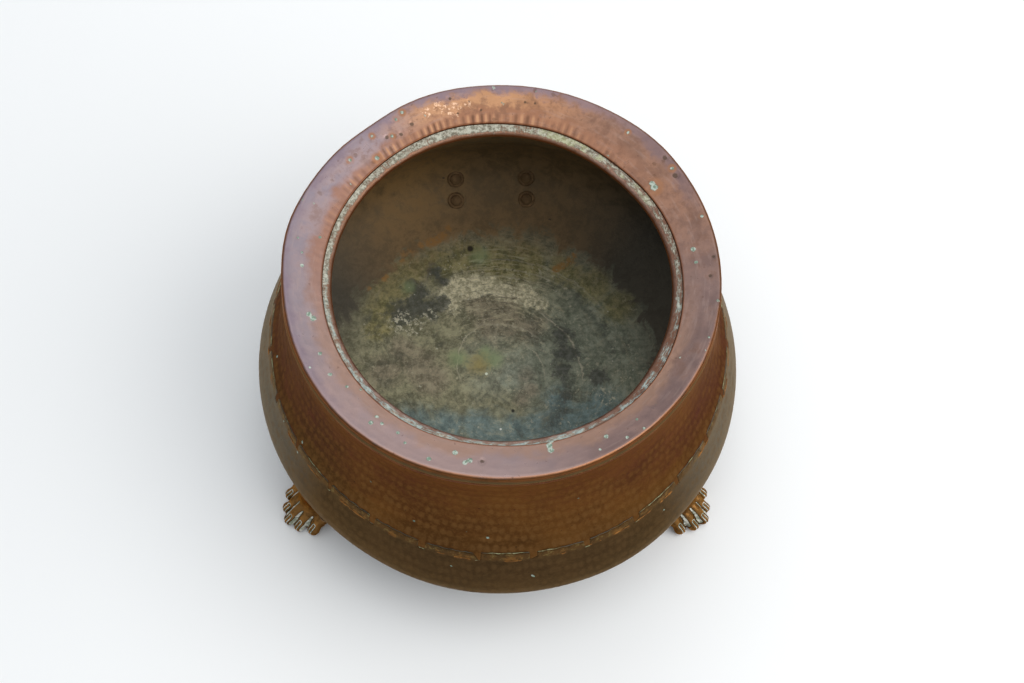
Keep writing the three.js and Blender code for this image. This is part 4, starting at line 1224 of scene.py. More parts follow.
# %% Solder and salts
def soldered_edge():
    material, tree, shader, place = finish_of("soldered_edge", COPPER_EDGE)
    pot = round_the_axis(tree, place)
    grain = noise(tree, place, 380.0, 6.0, 0.7)
    mottle = noise(tree, place, 75.0, 6.0, 0.65)
    streak = noise(tree, along_rings(tree, pot, 420.0, 14.0), 1.6, 5.0, 0.65)
    crossing = noise(tree, along_rings(tree, pot, 70.0, 75.0), 1.6, 5.0, 0.7)
    right = towards(tree, pot, 82, 42, 40)
    far_left = towards(tree, pot, -135, 75, 50)
    bare = mix(tree, ramp(tree, mottle, 0.38, 0.62), (0.205, 0.120, 0.090), (0.360, 0.240, 0.195))
    # Painted shade: the ring is darker on the right, where it faces away from the light.
    bare = mix(tree, scaled(tree, right, 0.8), bare, (0.125, 0.060, 0.038))
    bare = mix(tree, scaled(tree, far_left, 0.7), bare, (0.200, 0.095, 0.052))
    bare = mix(tree, scaled(tree, ramp(tree, grain, 0.5, 0.66), 0.5), bare, (0.09, 0.048, 0.035))
    salt = mix(tree, ramp(tree, grain, 0.38, 0.60), (0.150, 0.150, 0.115), (0.47, 0.47, 0.39))
    yellow = both(tree, towards(tree, pot, 150, 22, 20), ramp(tree, mottle, 0.48, 0.6))
    salt = mix(tree, scaled(tree, yellow, 0.4), salt, (0.40, 0.42, 0.19))
    blue_white = both(tree, towards(tree, pot, 5, 75, 60), ramp(tree, streak, 0.42, 0.56))
    salt = mix(tree, scaled(tree, blue_white, 0.7), salt, (0.30, 0.40, 0.40))
    drawn = mix(tree, scaled(tree, far_left, 0.5), streak, crossing)
    cover = calc(tree, "ADD", scaled(tree, attribute(tree, "solder"), 0.66), scaled(tree, drawn, 2.2, -1.1))
    cover = calc(tree, "ADD", cover, scaled(tree, mottle, 1.6, -0.8))
    cover = calc(tree, "ADD", cover, scaled(tree, far_left, 0.10))
    cover = calc(tree, "SUBTRACT", cover, scaled(tree, right, 0.22))
    share = ramp(tree, cover, 0.26, 0.80)
    colour = mix(tree, share, bare, salt)
    colour = mix(tree, attribute(tree, "inner_edge"), colour, (0.24, 0.080, 0.024))
    tree.links.new(colour, shader.inputs["Base Color"])
    tree.links.new(scaled(tree, share, -0.65, 0.7), shader.inputs["Metallic"])
    tree.links.new(scaled(tree, share, 0.35, 0.40), shader.inputs["Roughness"])
    relief(tree, shader, calc(tree, "ADD", grain, share), 0.3 * MM)
    return material


solder = soldered_edge()

# %% Mouth ring
MOUTH_SHEET = 1.2 * MM
MOUTH_WIRE_RADIUS = 2.2 * MM
MOUTH_RADIUS = 143 * MM
MOUTH_TONGUE = 8 * MM
ROLL_RADIUS = MOUTH_SHEET + CLEARANCE + MOUTH_WIRE_RADIUS
RING_STEP = 0.8 * MM


def under_flange(radius, distance):
    """A point of the flange's plate at a radius, a distance under its upper face, as (radius, depth)."""
    turn = math.pi / 2 + FLANGE_SLOPE
    reach = CORNER_RADIUS - distance
    start = (CROWN_RADIUS + reach * math.cos(turn), CORNER_RADIUS - reach * math.sin(turn))
    return np.array([radius, start[1] + (start[0] - radius) * math.tan(FLANGE_SLOPE)])


ROLL_CENTRE = under_flange(MOUTH_RADIUS + ROLL_RADIUS, SHEET + CLEARANCE + ROLL_RADIUS)


def mouth_surface(distance, spacing):
    """The strip from its tongue under the flange to the end of its roll, a distance under its face."""
    turn = np.linspace(math.pi / 2 + FLANGE_SLOPE, math.radians(330), 26)
    radius = ROLL_RADIUS - distance
    roll = np.stack([ROLL_CENTRE[0] + radius * np.cos(turn), ROLL_CENTRE[1] - radius * np.sin(turn)], axis=1)
    tongue = under_flange(FLANGE_INNER_RADIUS + MOUTH_TONGUE, SHEET + CLEARANCE + distance)
    return resample(np.concatenate([[tongue], roll]), spacing)


ring_outer = mouth_surface(0, RING_STEP)
ring_path = closed_path(ring_outer, mouth_surface(MOUTH_SHEET, 2 * RING_STEP))


def shape_ring(points):
    outside = points.row < len(ring_outer)
    lumps = dent(points.azimuth * 9, points.along, 21, 14, 5 * MM) * 0.5 + 0.5
    points.inwards = np.where(outside, lumps * 0.18 * MM + 0.02 * MM, 0)
    from_edge = points.radius - MOUTH_RADIUS
    points.marks = {"solder": smooth((from_edge - 1.0 * MM) / (3.6 * MM)) * outside,
                    "inner_edge": np.exp(-(np.maximum(from_edge, 0) / (0.7 * MM)) ** 2) * outside}
    drawn_in(points, ROLL_DRAWN_IN, 1)


ring_counts = np.where(np.arange(len(ring_path)) < len(ring_outer), FLANGE_AROUND, FLANGE_AROUND // 2)
ring = turned("mouth_ring_sheet", ring_path, ring_counts, shape_ring, solder, lean=True)
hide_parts("mouth_ring")
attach(ring, "root")


# %% Iron wire
def drawn_iron():
    material, tree, shader, place = finish_of("iron_wire")
    rust = noise(tree, place, 240.0, 6.0, 0.7)
    colour = mix(tree, ramp(tree, rust, 0.4, 0.62), (0.06, 0.055, 0.05), (0.16, 0.07, 0.03))
    tree.links.new(colour, shader.inputs["Base Color"])
    shader.inputs["Metallic"].default_value = 0.6
    shader.inputs["Roughness"].default_value = 0.7
    relief(tree, shader, rust, 0.2 * MM)
    return material


WIRE_SIDES = 16
wire_turn = np.linspace(0, 2 * math.pi, WIRE_SIDES, endpoint=False)
wire_path = ROLL_CENTRE + MOUTH_WIRE_RADIUS * np.stack([np.cos(wire_turn), np.sin(wire_turn)], axis=1)


def shape_wire(points):
    drawn_in(points, ROLL_DRAWN_IN, 1)


wire = turned("mouth_wire_rod", wire_path, np.full(WIRE_SIDES, FLANGE_AROUND // 4), shape_wire, drawn_iron(),
              lean=True)
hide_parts("mouth_wire")
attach(wire, "root")

# %% [markdown]
# ## Cast brass
# Old cast brass is orange-brown where it is handled and almost black at its edges, and the crowns of its toes
# carry a painted highlight. Polish and dust have dried white in the grooves, and stay there because no cloth reaches
# them.

# %% Cast brass
def cast_brass():
    material, tree, shader, place = finish_of("cast_brass", (1.0, 0.62, 0.34))
    clouds = noise(tree, place, 75.0, 5.0, 0.6)
    grain = noise(tree, place, 520.0, 4.0, 0.65)
    streaks = noise(tree, place, 230.0, 4.0, 0.6)
    colour = mix(tree, ramp(tree, clouds, 0.38, 0.60), (0.085, 0.038, 0.011), (0.20, 0.098, 0.030))
    # The toes' crowns are lighter: partly rubbed by hands, partly a painted highlight.
    crown = both(tree, attribute(tree, "crown"), ramp(tree, streaks, 0.34, 0.58))
    colour = mix(tree, scaled(tree, crown, 0.75), colour, (0.36, 0.175, 0.050))
    groove = attribute(tree, "groove")
    colour = mix(tree, ramp(tree, groove, 0.10, 0.36), colour, (0.030, 0.019, 0.008))
    ragged = calc(tree, "ADD", groove, scaled(tree, grain, 0.9, -0.45))
    residue = ramp(tree, ragged, 0.48, 0.70)
    colour = mix(tree, residue, colour, mix(tree, ramp(tree, streaks, 0.40, 0.60), (0.30, 0.33, 0.25),
                                            (0.74, 0.74, 0.66)))
    tree.links.new(colour, shader.inputs["Base Color"])
    tree.links.new(scaled(tree, residue, -0.85, 0.9), shader.inputs["Metallic"])
    tree.links.new(scaled(tree, residue, 0.45, 0.34), shader.inputs["Roughness"])
    relief(tree, shader, calc(tree, "ADD", grain, clouds), 0.18 * MM)
    return material


brass = cast_brass()
print("brass finish", brass.name)

# %% [markdown]
# ## Feet
# Each foot is one casting: five toes with engraved claws, an ankle, a leg and a saddle plate that follows the
# bowl. Round bodies are strewn along each toe, the leg is drawn through oval sections, a voxel remesh makes
# one skin of them, and the claws and the gaps between the toes are pressed into that skin by a formula.

# %% Shape of a foot
FOOT_AZIMUTHS = {"left": -52.5, "right": 61.5, "rear": 186}
FOOT_REACH = 244 * MM
TOE_RADIUS = 6.2 * MM
TOE_PITCH = 10.4 * MM
TOE_SETBACKS = [13.5 * MM, 4.5 * MM, 0.0, 4.5 * MM, 13.5 * MM]
TOE_LENGTH = 22 * MM
TOE_SLOPE = math.radians(37)
TOE_FAN = math.radians(4)
ANKLE_WIDTH = 32 * MM
VOXEL = 0.62 * MM
PLATE_MIDDLE = 0.275
seat_radius, seat_depth = bezier(BOWL, [PLATE_MIDDLE])[0]
SEAT_HEIGHT = TOTAL_HEIGHT - seat_depth
LEG_SECTIONS = np.array([  # height as a share of the seat's, then inset, half length, half width as shares
    (-0.03, 0.97, 0.625, 0.66), (0.125, 0.94, 0.66, 0.69), (0.29, 1.03, 0.50, 0.61), (0.47, 1.16, 0.39, 0.50),
    (0.66, 1.17, 0.41, 0.55), (0.86, 1.20, 0.42, 0.72), (1.12, 1.25, 0.50, 0.95)])


def toe_line(place):
    """The middle of a toe: its tip, and its direction back and up to the ankle."""
    offset = place - 2
    tip = Vector((FOOT_REACH - TOE_SETBACKS[place] - TOE_RADIUS - 0.3 * MM, offset * TOE_PITCH, TOE_RADIUS))
    back = Vector((-math.cos(TOE_SLOPE), 0, math.sin(TOE_SLOPE)))
    back.rotate(Matrix.Rotation(offset * TOE_FAN, 3, "Z"))
    return tip, back


def add_toes(mesh):
    """Balls along each toe: round at the tip, drawn in behind it, and full again at the knuckle."""
    for place in range(len(TOE_SETBACKS)):
        tip, back = toe_line(place)
        for step in np.linspace(0, 1, 12):
            girth = 1 - 0.13 * math.sin(math.pi * min(1, step * 2.2)) + 0.10 * math.sin(math.pi * max(0, step - 0.4))
            bow = Vector((0, 0, 2.0 * MM * math.sin(step * math.pi)))
            centre = Matrix.Translation(tip + back * TOE_LENGTH * step + bow)
            bmesh.ops.create_icosphere(mesh, subdivisions=3, radius=TOE_RADIUS * girth, matrix=centre)


def add_leg(mesh, levels=26, sides=40):
    """A closed body through oval sections, blended between the listed ones."""
    shares = np.linspace(LEG_SECTIONS[0, 0], LEG_SECTIONS[-1, 0], levels)
    smoothed = [np.interp(shares, LEG_SECTIONS[:, 0], LEG_SECTIONS[:, k]) for k in (1, 2, 3)]
    blend = np.array([0.25, 0.5, 0.25])
    for _ in range(6):
        smoothed = [np.convolve(np.pad(row, 1, mode="edge"), blend, mode="valid") for row in smoothed]
    rings = []
    for share, inside, half_length, half_width in zip(shares, *smoothed):
        ring = []
        for angle in np.linspace(0, 2 * math.pi, sides, endpoint=False):
            out = FOOT_REACH + ANKLE_WIDTH * (half_length * math.cos(angle) - inside)
            ring.append(mesh.verts.new((out, ANKLE_WIDTH * half_width * math.sin(angle), share * SEAT_HEIGHT)))
        rings.append(ring)
    for lower, upper in zip(rings, rings[1:]):
        for k in range(sides):
            n = (k + 1) % sides
            mesh.faces.new([lower[k], lower[n], upper[n], upper[k]])
    mesh.faces.new(rings[0][::-1])
    mesh.faces.new(rings[-1])


# %% Saddle plate
PLATE_WIDTH = 96 * MM
PLATE_LENGTH = 40 * MM
PLATE_CORNER = 15 * MM
PLATE_THICKNESS = 4 * MM


def bowl_line(below):
    """The bowl's outer face, or a surface a distance below it: radius, height and length along the curve."""
    path = inset(bezier(BOWL, np.linspace(0, 1, 400)), -below)
    along = np.concatenate([[0], np.cumsum(np.hypot(*np.diff(path, axis=0).T))])
    return path[:, 0], TOTAL_HEIGHT - path[:, 1], along


def bowl_height(radius, below):
    """Height of the bowl's outer face, or of a surface a distance below it, at a radius."""
    line_radius, line_height, _ = bowl_line(below)
    return np.interp(radius, line_radius[::-1], line_height[::-1])


def add_saddle(mesh, columns=48, rows=20):
    """The plate under the bowl: a rounded oblong, bent to the bowl in both directions."""
    grid = {}
    for side, below in enumerate((0.4 * MM, CLEARANCE + PLATE_THICKNESS)):
        line_radius, line_height, along = bowl_line(below)
        middle = np.interp(-seat_radius, -line_radius, along)
        for i in range(columns + 1):
            across = (i / columns * 2 - 1) * PLATE_WIDTH / 2
            over = max(0, abs(across) - (PLATE_WIDTH / 2 - PLATE_CORNER))
            reach = PLATE_LENGTH / 2 - PLATE_CORNER + math.sqrt(max(0, PLATE_CORNER ** 2 - over ** 2))
            for j in range(rows + 1):
                place = middle + (j / rows * 2 - 1) * reach
                radius = np.interp(place, along, line_radius)
                turn = across / seat_radius
                grid[side, i, j] = mesh.verts.new((radius * math.cos(turn), radius * math.sin(turn),
                                                   np.interp(place, along, line_height)))
    for i in range(columns):
        for j in range(rows):
            for side in (0, 1):
                corners = ((i, j), (i + 1, j), (i + 1, j + 1), (i, j + 1))
                mesh.faces.new([grid[side, *corner] for corner in corners])
    for i in range(columns):
        for j in (0, rows):
            mesh.faces.new([grid[0, i, j], grid[0, i + 1, j], grid[1, i + 1, j], grid[1, i, j]])
    for j in range(rows):
        for i in (0, columns):
            mesh.faces.new([grid[0, i, j], grid[0, i, j + 1], grid[1, i, j + 1], grid[1, i, j]])


# %% One skin
def one_skin(name, mesh):
    """A voxel remesh of everything in the mesh, as a plain mesh."""
    bmesh.ops.remove_doubles(mesh, verts=mesh.verts, dist=0.01 * MM)
    bmesh.ops.recalc_face_normals(mesh, faces=mesh.faces)
    data = bpy.data.meshes.new(name)
    mesh.to_mesh(data)
    mesh.free()
    rough = link_object(name + "_bodies", data)
    remesh = rough.modifiers.new("skin", "REMESH")
    remesh.mode = "VOXEL"
    remesh.voxel_size = VOXEL
    soften = rough.modifiers.new("soften", "SMOOTH")
    soften.factor = 0.5
    soften.iterations = 5
    skin = bpy.data.meshes.new_from_object(rough.evaluated_get(bpy.context.evaluated_depsgraph_get()))
    bpy.data.objects.remove(rough)
    return skin


# %% Claws and gaps
CLAW_ARCH = 5.6 * MM
CLAW_HALF_WIDTH = 1.75 * MM
CLAW_LINE = 0.62 * MM
GROOVE_DEPTH = 0.8 * MM


def toe_marks(points):
    """How deep each point lies in a claw's outline or between two toes, and how near a toe's crown, 0 to 1."""
    deep = np.zeros(len(points))
    crown = np.zeros(len(points))
    for place in range(len(TOE_SETBACKS)):
        tip, back = toe_line(place)
        side = np.array(Vector((0, 0, 1)).cross(back).normalized())
        up = np.cross(np.array(back), side)
        up *= np.sign(up[2])
        local = points - np.array(tip)
        run, wide, high = local @ np.array(back), local @ side, local @ up
        on_top = (np.abs(wide) < TOE_PITCH / 2) & (high > -1.5 * MM) & (run < TOE_LENGTH / 2)
        past_arch = np.hypot(np.maximum(run - CLAW_ARCH, 0), wide)
        outline = np.exp(-((past_arch - CLAW_HALF_WIDTH) / CLAW_LINE) ** 2)
        deep = np.maximum(deep, outline * on_top)
        middle = 1 - smooth((np.abs(wide) - 1.8 * MM) / (2.6 * MM))
        crown = np.maximum(crown, middle * smooth(high / (4 * MM)) * smooth((TOE_LENGTH * 1.3 - run) / TOE_LENGTH))
        if place < len(TOE_SETBACKS) - 1:
            other, _ = toe_line(place + 1)
            edge = np.abs((points - np.array((tip + other) / 2)) @ side)
            width = (0.7 + 0.9 * np.clip(1 - run / TOE_LENGTH, 0, 1)) * MM
            ends = smooth((TOE_LENGTH - run) / (4 * MM)) * smooth((run + 4.5 * MM) / (2 * MM))
            between = np.exp(-(edge / width) ** 2) * ends * (high > -5 * MM)
            deep = np.maximum(deep, between)
    return deep, crown


# %% Feet
def vertex_values(mesh, key):
    """Places or normals of a mesh's points as rows of three."""
    values = np.zeros(len(mesh.vertices) * 3)
    mesh.vertices.foreach_get(key, values)
    return values.reshape(-1, 3)


def make_foot(side, azimuth):
    mesh = bmesh.new()
    add_toes(mesh)
    add_leg(mesh)
    add_saddle(mesh)
    name = f"foot_{side}_casting"
    skin = one_skin(name, mesh)
    places = vertex_values(skin, "co")
    deep, crown = toe_marks(places)
    places = places - vertex_values(skin, "normal") * (deep * GROOVE_DEPTH)[:, None]
    places[:, 2] = np.maximum(places[:, 2], 0)
    radius = np.hypot(places[:, 0], places[:, 1])
    under_bowl = np.minimum(places[:, 2], bowl_height(radius, 0.4 * MM))
    places[:, 2] = np.where(radius < BELLY_RADIUS, under_bowl, places[:, 2])
    turn = math.radians(azimuth - 90)
    across = places[:, 0] * math.cos(turn) - places[:, 1] * math.sin(turn) + AXIS.x
    along = places[:, 0] * math.sin(turn) + places[:, 1] * math.cos(turn) + AXIS.y
    skin.vertices.foreach_set("co", np.stack([across, along, places[:, 2]], axis=1).ravel())
    for key, values in (("groove", deep), ("crown", crown)):
        skin.attributes.new(key, "FLOAT", "POINT").data.foreach_set("value", values.astype(np.float32))
    skin.materials.clear()
    skin.materials.append(brass)
    skin.shade_smooth()
    foot = link_object(name, skin)
    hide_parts(f"foot_{side}")
    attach(foot, "root")
    print(name, len(skin.polygons), "faces")


for side, azimuth in FOOT_AZIMUTHS.items():
    make_foot(side, azimuth)

# %% [markdown]
# ## Rivets and roves
# Four rivets hold each foot, and inside the pot each passes through a rove and is hammered down over it. They
# repeat, so each kind is turned once as a small mesh, and a Geometry Nodes tree sets it on every seat, square
# to the bowl, and then dents all of them unevenly, as the hammer did.

# %% A tree that sets copies on seats
def tree_with_inputs(name, sockets):
    """A geometry tree with named inputs, its group input node and an output node."""
    tree = bpy.data.node_groups.new(name, "GeometryNodeTree")
    for label, kind in sockets.items():
        tree.interface.new_socket(label, in_out="INPUT", socket_type="NodeSocket" + kind)
    tree.interface.new_socket("Geometry", in_out="OUTPUT", socket_type="NodeSocketGeometry")
    return tree, tree.nodes.new("NodeGroupInput").outputs


def finish_tree(tree, geometry, material):
    """Ends a tree: real geometry with its material."""
    real = add(tree, "GeometryNodeRealizeInstances", {0: geometry})
    painted = add(tree, "GeometryNodeSetMaterial", {0: real.outputs[0], "Material": material})
    tree.links.new(painted.outputs[0], tree.nodes.new("NodeGroupOutput").inputs[0])


def uneven(tree, geometry, scale, amount):
    """The geometry with its points pushed about by a noise."""
    grain = add(tree, "ShaderNodeTexNoise", {"Scale": scale, "Detail": 2.0})
    shift = add(tree, "ShaderNodeVectorMath", {0: grain.outputs["Color"], 1: (0.5, 0.5, 0.5)},
                operation="SUBTRACT")
    push = add(tree, "ShaderNodeVectorMath", {0: shift.outputs[0], "Scale": amount}, operation="SCALE")
    return add(tree, "GeometryNodeSetPosition", {0: geometry, "Offset": push.outputs[0]}).outputs[0]


def seat_tree():
    tree, given = tree_with_inputs("copies_on_seats", {"Geometry": "Geometry", "Master": "Object",
                                                       "Unevenness": "Float", "Material": "Material"})
    master = add(tree, "GeometryNodeObjectInfo", {"Object": given["Master"]}).outputs["Geometry"]
    square = add(tree, "GeometryNodeInputNamedAttribute", {"Name": "square"}, data_type="FLOAT_VECTOR")
    turn = add(tree, "FunctionNodeAlignRotationToVector", {"Vector": square.outputs[0]}, axis="Z")
    copies = add(tree, "GeometryNodeInstanceOnPoints", {"Points": given["Geometry"], "Instance": master,
                                                        "Rotation": turn.outputs[0]})
    real = add(tree, "GeometryNodeRealizeInstances", {0: copies.outputs[0]})
    finish_tree(tree, uneven(tree, real.outputs[0], 190.0, given["Unevenness"]), given["Material"])
    return tree


def grown(name, holder, tree, values):
    """Runs a tree on an object and keeps the result as a plain mesh that rides with the pot."""
    modifier = holder.modifiers.new(name, "NODES")
    modifier.node_group = tree
    for item in tree.interface.items_tree:
        if item.in_out == "INPUT" and item.name in values:
            modifier[item.identifier] = values[item.name]
    graph = bpy.context.evaluated_depsgraph_get()
    mesh = bpy.data.meshes.new_from_object(holder.evaluated_get(graph))
    mesh.name = name
    bpy.data.objects.remove(holder)
    outward(mesh)
    piece = link_object(name, mesh)
    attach(piece, "root")
    print(name, len(mesh.polygons), "faces")
    return piece


SEAT_TREE = seat_tree()

# %% Seats of the rivets
RIVET_ROWS = [0.21, 0.34]
RIVET_SPREAD = 36 * MM


def rivet_seats():
    """Place on the bowl's outer face and outward normal of each rivet."""
    seats = []
    for azimuth in FOOT_AZIMUTHS.values():
        for t in RIVET_ROWS:
            (radius, depth), (next_radius, next_depth) = bezier(BOWL, [t, t + 0.001])
            step = Vector((next_radius - radius, next_depth - depth)).normalized()
            for direction in (-1, 1):
                turn = math.radians(azimuth) + direction * math.asin(RIVET_SPREAD / radius)
                out = Vector((math.sin(turn), -math.cos(turn), 0))
                place = AXIS + out * radius + Vector((0, 0, TOTAL_HEIGHT - depth))
                seats.append((place, (out * step.y + Vector((0, 0, step.x))).normalized()))
    return seats


def lathe(name, outline, sides=28):
    """A small closed body turned about Z from an outline of (radius, height)."""
    mesh = bmesh.new()
    corners = [mesh.verts.new((radius, 0, height)) for radius, height in outline]
    edges = [mesh.edges.new(pair) for pair in zip(corners, corners[1:])]
    if outline[0][0] > 0:
        edges.append(mesh.edges.new((corners[-1], corners[0])))
    bmesh.ops.spin(mesh, geom=corners + edges, cent=(0, 0, 0), axis=(0, 0, 1), angle=2 * math.pi, steps=sides)
    bmesh.ops.remove_doubles(mesh, verts=mesh.verts, dist=0.01 * MM)
    bmesh.ops.recalc_face_normals(mesh, faces=mesh.faces)
    data = bpy.data.meshes.new(name)
    mesh.to_mesh(data)
    mesh.free()
    inner = np.array([vertex.co.z < 0 for vertex in data.vertices], np.float32)
    data.attributes.new("inner", "FLOAT", "POINT").data.foreach_set("value", inner)
    return link_object(name, data)


def dome(radius, base, height, steps=7):
    """Outline of a low round head, from its rim to its top."""
    return [(radius * math.cos(a), base + height * math.sin(a)) for a in np.linspace(0, math.pi / 2, steps)]


def set_on_seats(name, master, nodes, uneven_by, material):
    """One piece that holds a copy of the master on every seat, and stands for the model's copies."""
    seats = rivet_seats()
    points = bpy.data.meshes.new(name + "_seats")
    points.from_pydata([tuple(place) for place, _ in seats], [], [])
    square = points.attributes.new("square", "FLOAT_VECTOR", "POINT")
    square.data.foreach_set("vector", np.array([normal for _, normal in seats], np.float32).ravel())
    values = {"Master": master, "Unevenness": uneven_by, "Material": material}
    piece = grown(name, link_object(name + "_seats", points), SEAT_TREE, values)
    bpy.data.objects.remove(master)
    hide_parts(*nodes)


# %% Rivets
def rivet_copper():
    material, tree, shader, place = finish_of("rivet_copper", COPPER_EDGE)
    patches = noise(tree, place, 150.0, 6.0, 0.65)
    outside = mix(tree, ramp(tree, patches, 0.40, 0.62), (0.085, 0.050, 0.022), (0.165, 0.095, 0.042))
    inside = mix(tree, ramp(tree, patches, 0.40, 0.62), (0.170, 0.108, 0.052), (0.265, 0.168, 0.084))
    colour = mix(tree, attribute(tree, "inner"), outside, inside)
    tree.links.new(colour, shader.inputs["Base Color"])
    shader.inputs["Metallic"].default_value = 0.15
    shader.inputs["Roughness"].default_value = 0.62
    relief(tree, shader, patches, 0.4 * MM)
    return material


rivet_finish = rivet_copper()
rivet_names = [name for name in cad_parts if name.startswith("rivet_")]
rove_names = [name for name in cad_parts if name.startswith("rove_")]
inner_head = [(radius, -height) for radius, height in dome(5.8 * MM, 3.5 * MM, 2.4 * MM)][::-1]
outer_head = dome(7.5 * MM, 4.4 * MM, 2.9 * MM)
rivet_outline = [*inner_head, (4 * MM, -3.5 * MM), (4 * MM, 4.4 * MM), *outer_head]
rivet_outline[0] = (0.0, rivet_outline[0][1])
rivet_outline[-1] = (0.0, rivet_outline[-1][1])
rove_outline = [(4.3 * MM, -1.45 * MM), (8.5 * MM, -1.45 * MM), (8.6 * MM, -2.3 * MM), (8.1 * MM, -3.1 * MM),
                (7.0 * MM, -3.5 * MM), (4.3 * MM, -3.6 * MM)]
set_on_seats("rivets", lathe("rivet_master", rivet_outline), rivet_names, 1.1 * MM, rivet_finish)
set_on_seats("roves", lathe("rove_master", rove_outline), rove_names, 1.3 * MM, rivet_finish)

# %% [markdown]
# ## Seam lines
# The brazing that closes the seam shows as a thin pale line along the tops of some tabs, and as a worn orange
# ridge along their roots. Both are beads that follow a path, so one Geometry Nodes tree sweeps them: it turns
# the path's edges into a curve, gives it a round section, thins it where the path's cover is low, and
# roughens it. Where the front of the pot shows a run of either, the run is listed in degrees.

# %% A tree that sweeps a bead along a path
def bead_tree():
    tree, given = tree_with_inputs("bead_along_path", {"Geometry": "Geometry", "Radius": "Float",
                                                       "Unevenness": "Float", "Material": "Material"})
    cover = add(tree, "GeometryNodeInputNamedAttribute", {"Name": "cover"}, data_type="FLOAT")
    breaks = add(tree, "ShaderNodeTexNoise", {"Scale": 140.0, "Detail": 3.0})
    spread = add(tree, "ShaderNodeMapRange", {"Value": breaks.outputs["Fac"], "From Min": 0.36,
                                              "From Max": 0.56, "To Min": 0.35, "To Max": 1.1})
    girth = calc(tree, "MULTIPLY", cover.outputs[0], spread.outputs["Result"])
    curve = add(tree, "GeometryNodeMeshToCurve", {0: given["Geometry"]})
    section = add(tree, "GeometryNodeCurvePrimitiveCircle", {"Resolution": 6, "Radius": given["Radius"]})
    swept = add(tree, "GeometryNodeCurveToMesh", {"Curve": curve.outputs[0], "Profile Curve": section.outputs[0],
                                                  "Scale": girth})
    finish_tree(tree, uneven(tree, swept.outputs[0], 420.0, given["Unevenness"]), given["Material"])
    return tree


BEAD_TREE = bead_tree()


def bead(name, points, cover, radius, unevenness, material):
    """A closed bead through the points, as thick at each as its cover says."""
    path = bpy.data.meshes.new(name + "_path")
    count = len(points)
    path.from_pydata([tuple(p) for p in points], [(i, (i + 1) % count) for i in range(count)], [])
    path.attributes.new("cover", "FLOAT", "POINT").data.foreach_set("value", np.array(cover, np.float32))
    values = {"Radius": radius, "Unevenness": unevenness, "Material": material}
    return grown(name, link_object(name + "_path", path), BEAD_TREE, values)


# %% Brazing and worn ridge
def on_wall(azimuth, depth, lift):
    """A place on the wall, lifted off it, with the wall's own swelling."""
    radius = wall_radius(depth) + lift + float(wall_bulge(np.array([azimuth]), np.array([depth]))[0])
    return AXIS + Vector((radius * math.sin(azimuth), -radius * math.cos(azimuth), TOTAL_HEIGHT - depth))


def seam_finish(name, first, second, metal, roughness):
    material, tree, shader, place = finish_of(name, COPPER_EDGE)
    patches = noise(tree, place, 130.0, 6.0, 0.7)
    tree.links.new(mix(tree, ramp(tree, patches, 0.4, 0.6), first, second), shader.inputs["Base Color"])
    shader.inputs["Metallic"].default_value = metal
    shader.inputs["Roughness"].default_value = roughness
    relief(tree, shader, patches, 0.3 * MM)
    return material


def tab_outline():
    """The castellated path along the tabs, up, across the top, down and along the slot's root, with its cover."""
    points, cover = [], []
    for i in range(TAB_COUNT):
        start = slot_edges(i)[1]
        end = slot_edges(i + 1)[0]
        across = np.linspace(start, end, 26)
        tops = tab_top(across)
        for depth in np.linspace(SEAM_DEPTH, tops[0], 6):
            points.append(on_wall(start, depth, -0.45 * MM))
            cover.append(0.12)
        for azimuth, top in zip(across[1:-1], tops[1:-1]):
            points.append(on_wall(azimuth, top - 0.2 * MM, -0.32 * MM))
            cover.append(float(runs(np.array([azimuth]), TOP_BRAZE, 5)[0]))
        for depth in np.linspace(tops[-1], SEAM_DEPTH, 6):
            points.append(on_wall(end, depth, -0.45 * MM))
            cover.append(0.12)
        for azimuth in np.linspace(end, slot_edges(i + 1)[1], 5)[1:-1]:
            points.append(on_wall(azimuth, SEAM_DEPTH, -0.40 * MM))
            cover.append(1.1 if i % 3 else 0.2)
    return points, cover


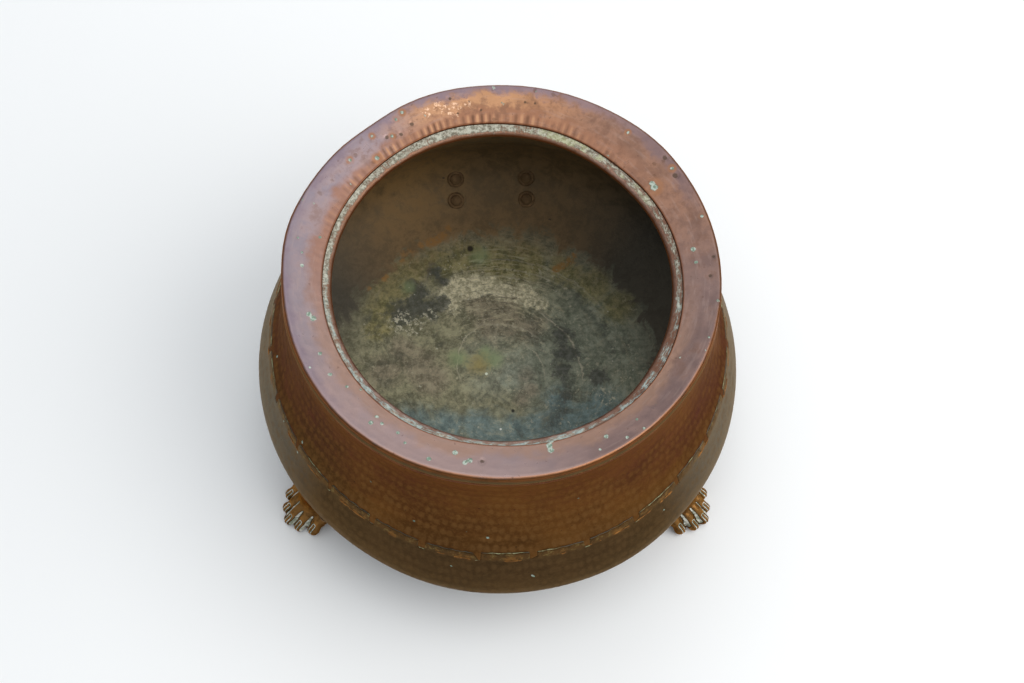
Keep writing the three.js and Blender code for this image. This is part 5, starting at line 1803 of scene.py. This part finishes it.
pale_braze = seam_finish("pale_braze", (0.090, 0.062, 0.022), (0.29, 0.31, 0.18), 0.3, 0.55)
worn_copper = seam_finish("worn_copper", (0.115, 0.050, 0.014), (0.27, 0.120, 0.030), 0.6, 0.45)
bead("seam_braze", *tab_outline(), 0.5 * MM, 0.45 * MM, pale_braze)
round_the_pot = np.linspace(0, 2 * math.pi, 1100, endpoint=False)
root_line = [on_wall(a, SEAM_DEPTH - 0.4 * MM + 0.5 * MM * math.sin(9 * a), -0.62 * MM) for a in round_the_pot]
bead("seam_root_ridge", root_line, runs(round_the_pot, ROOT_WEAR, 6), 0.95 * MM, 0.6 * MM, worn_copper)

# %% [markdown]
# ## Floor and light
# The floor is plain and pale. Large soft lamps light the pot at a plain level: the strongest stands to the
# right, one hangs over the mouth so that light reaches the floor of the bowl, and one behind gives the near
# rim its sheen.

# %% Floor
def pale_floor():
    material, tree, shader, _ = finish_of("pale_floor")
    shader.inputs["Base Color"].default_value = (0.88, 0.885, 0.885, 1)
    shader.inputs["Roughness"].default_value = 0.9
    return material


FLOOR_SIZE = 6.0
bpy.ops.mesh.primitive_plane_add(size=FLOOR_SIZE, location=(0, 0, -0.2 * MM))
floor = bpy.context.object
floor.name = "floor"
floor.data.materials.append(pale_floor())

# %% Light
world = bpy.data.worlds.new("studio")
bpy.context.scene.world = world
world.use_nodes = True
world.node_tree.nodes["Background"].inputs["Color"].default_value = (0.88, 0.94, 1.0, 1)
world.node_tree.nodes["Background"].inputs["Strength"].default_value = 0.50


def lamp(name, place, size, power, colour):
    """A round soft lamp that looks at the middle of the pot."""
    light = bpy.data.lights.new(name, "AREA")
    light.shape = "DISK"
    light.size = size
    light.energy = power
    light.color = colour
    holder = bpy.data.objects.new(name, light)
    bpy.context.scene.collection.objects.link(holder)
    holder.location = place
    holder.rotation_euler = (Vector((0, 0, 0.15)) - Vector(place)).to_track_quat("-Z", "Y").to_euler()


lamp("right", (1.9, -0.4, 2.2), 2.8, 42, (1.0, 0.98, 0.95))
lamp("overhead", (0.1, 0.15, 2.6), 3.4, 34, (1.0, 0.99, 0.97))
lamp("behind", (-0.2, 2.6, 1.9), 2.8, 14, (0.93, 0.96, 1.0))
bpy.context.scene.view_settings.view_transform = "Standard"
print("lamps", [light.name for light in bpy.data.lights])
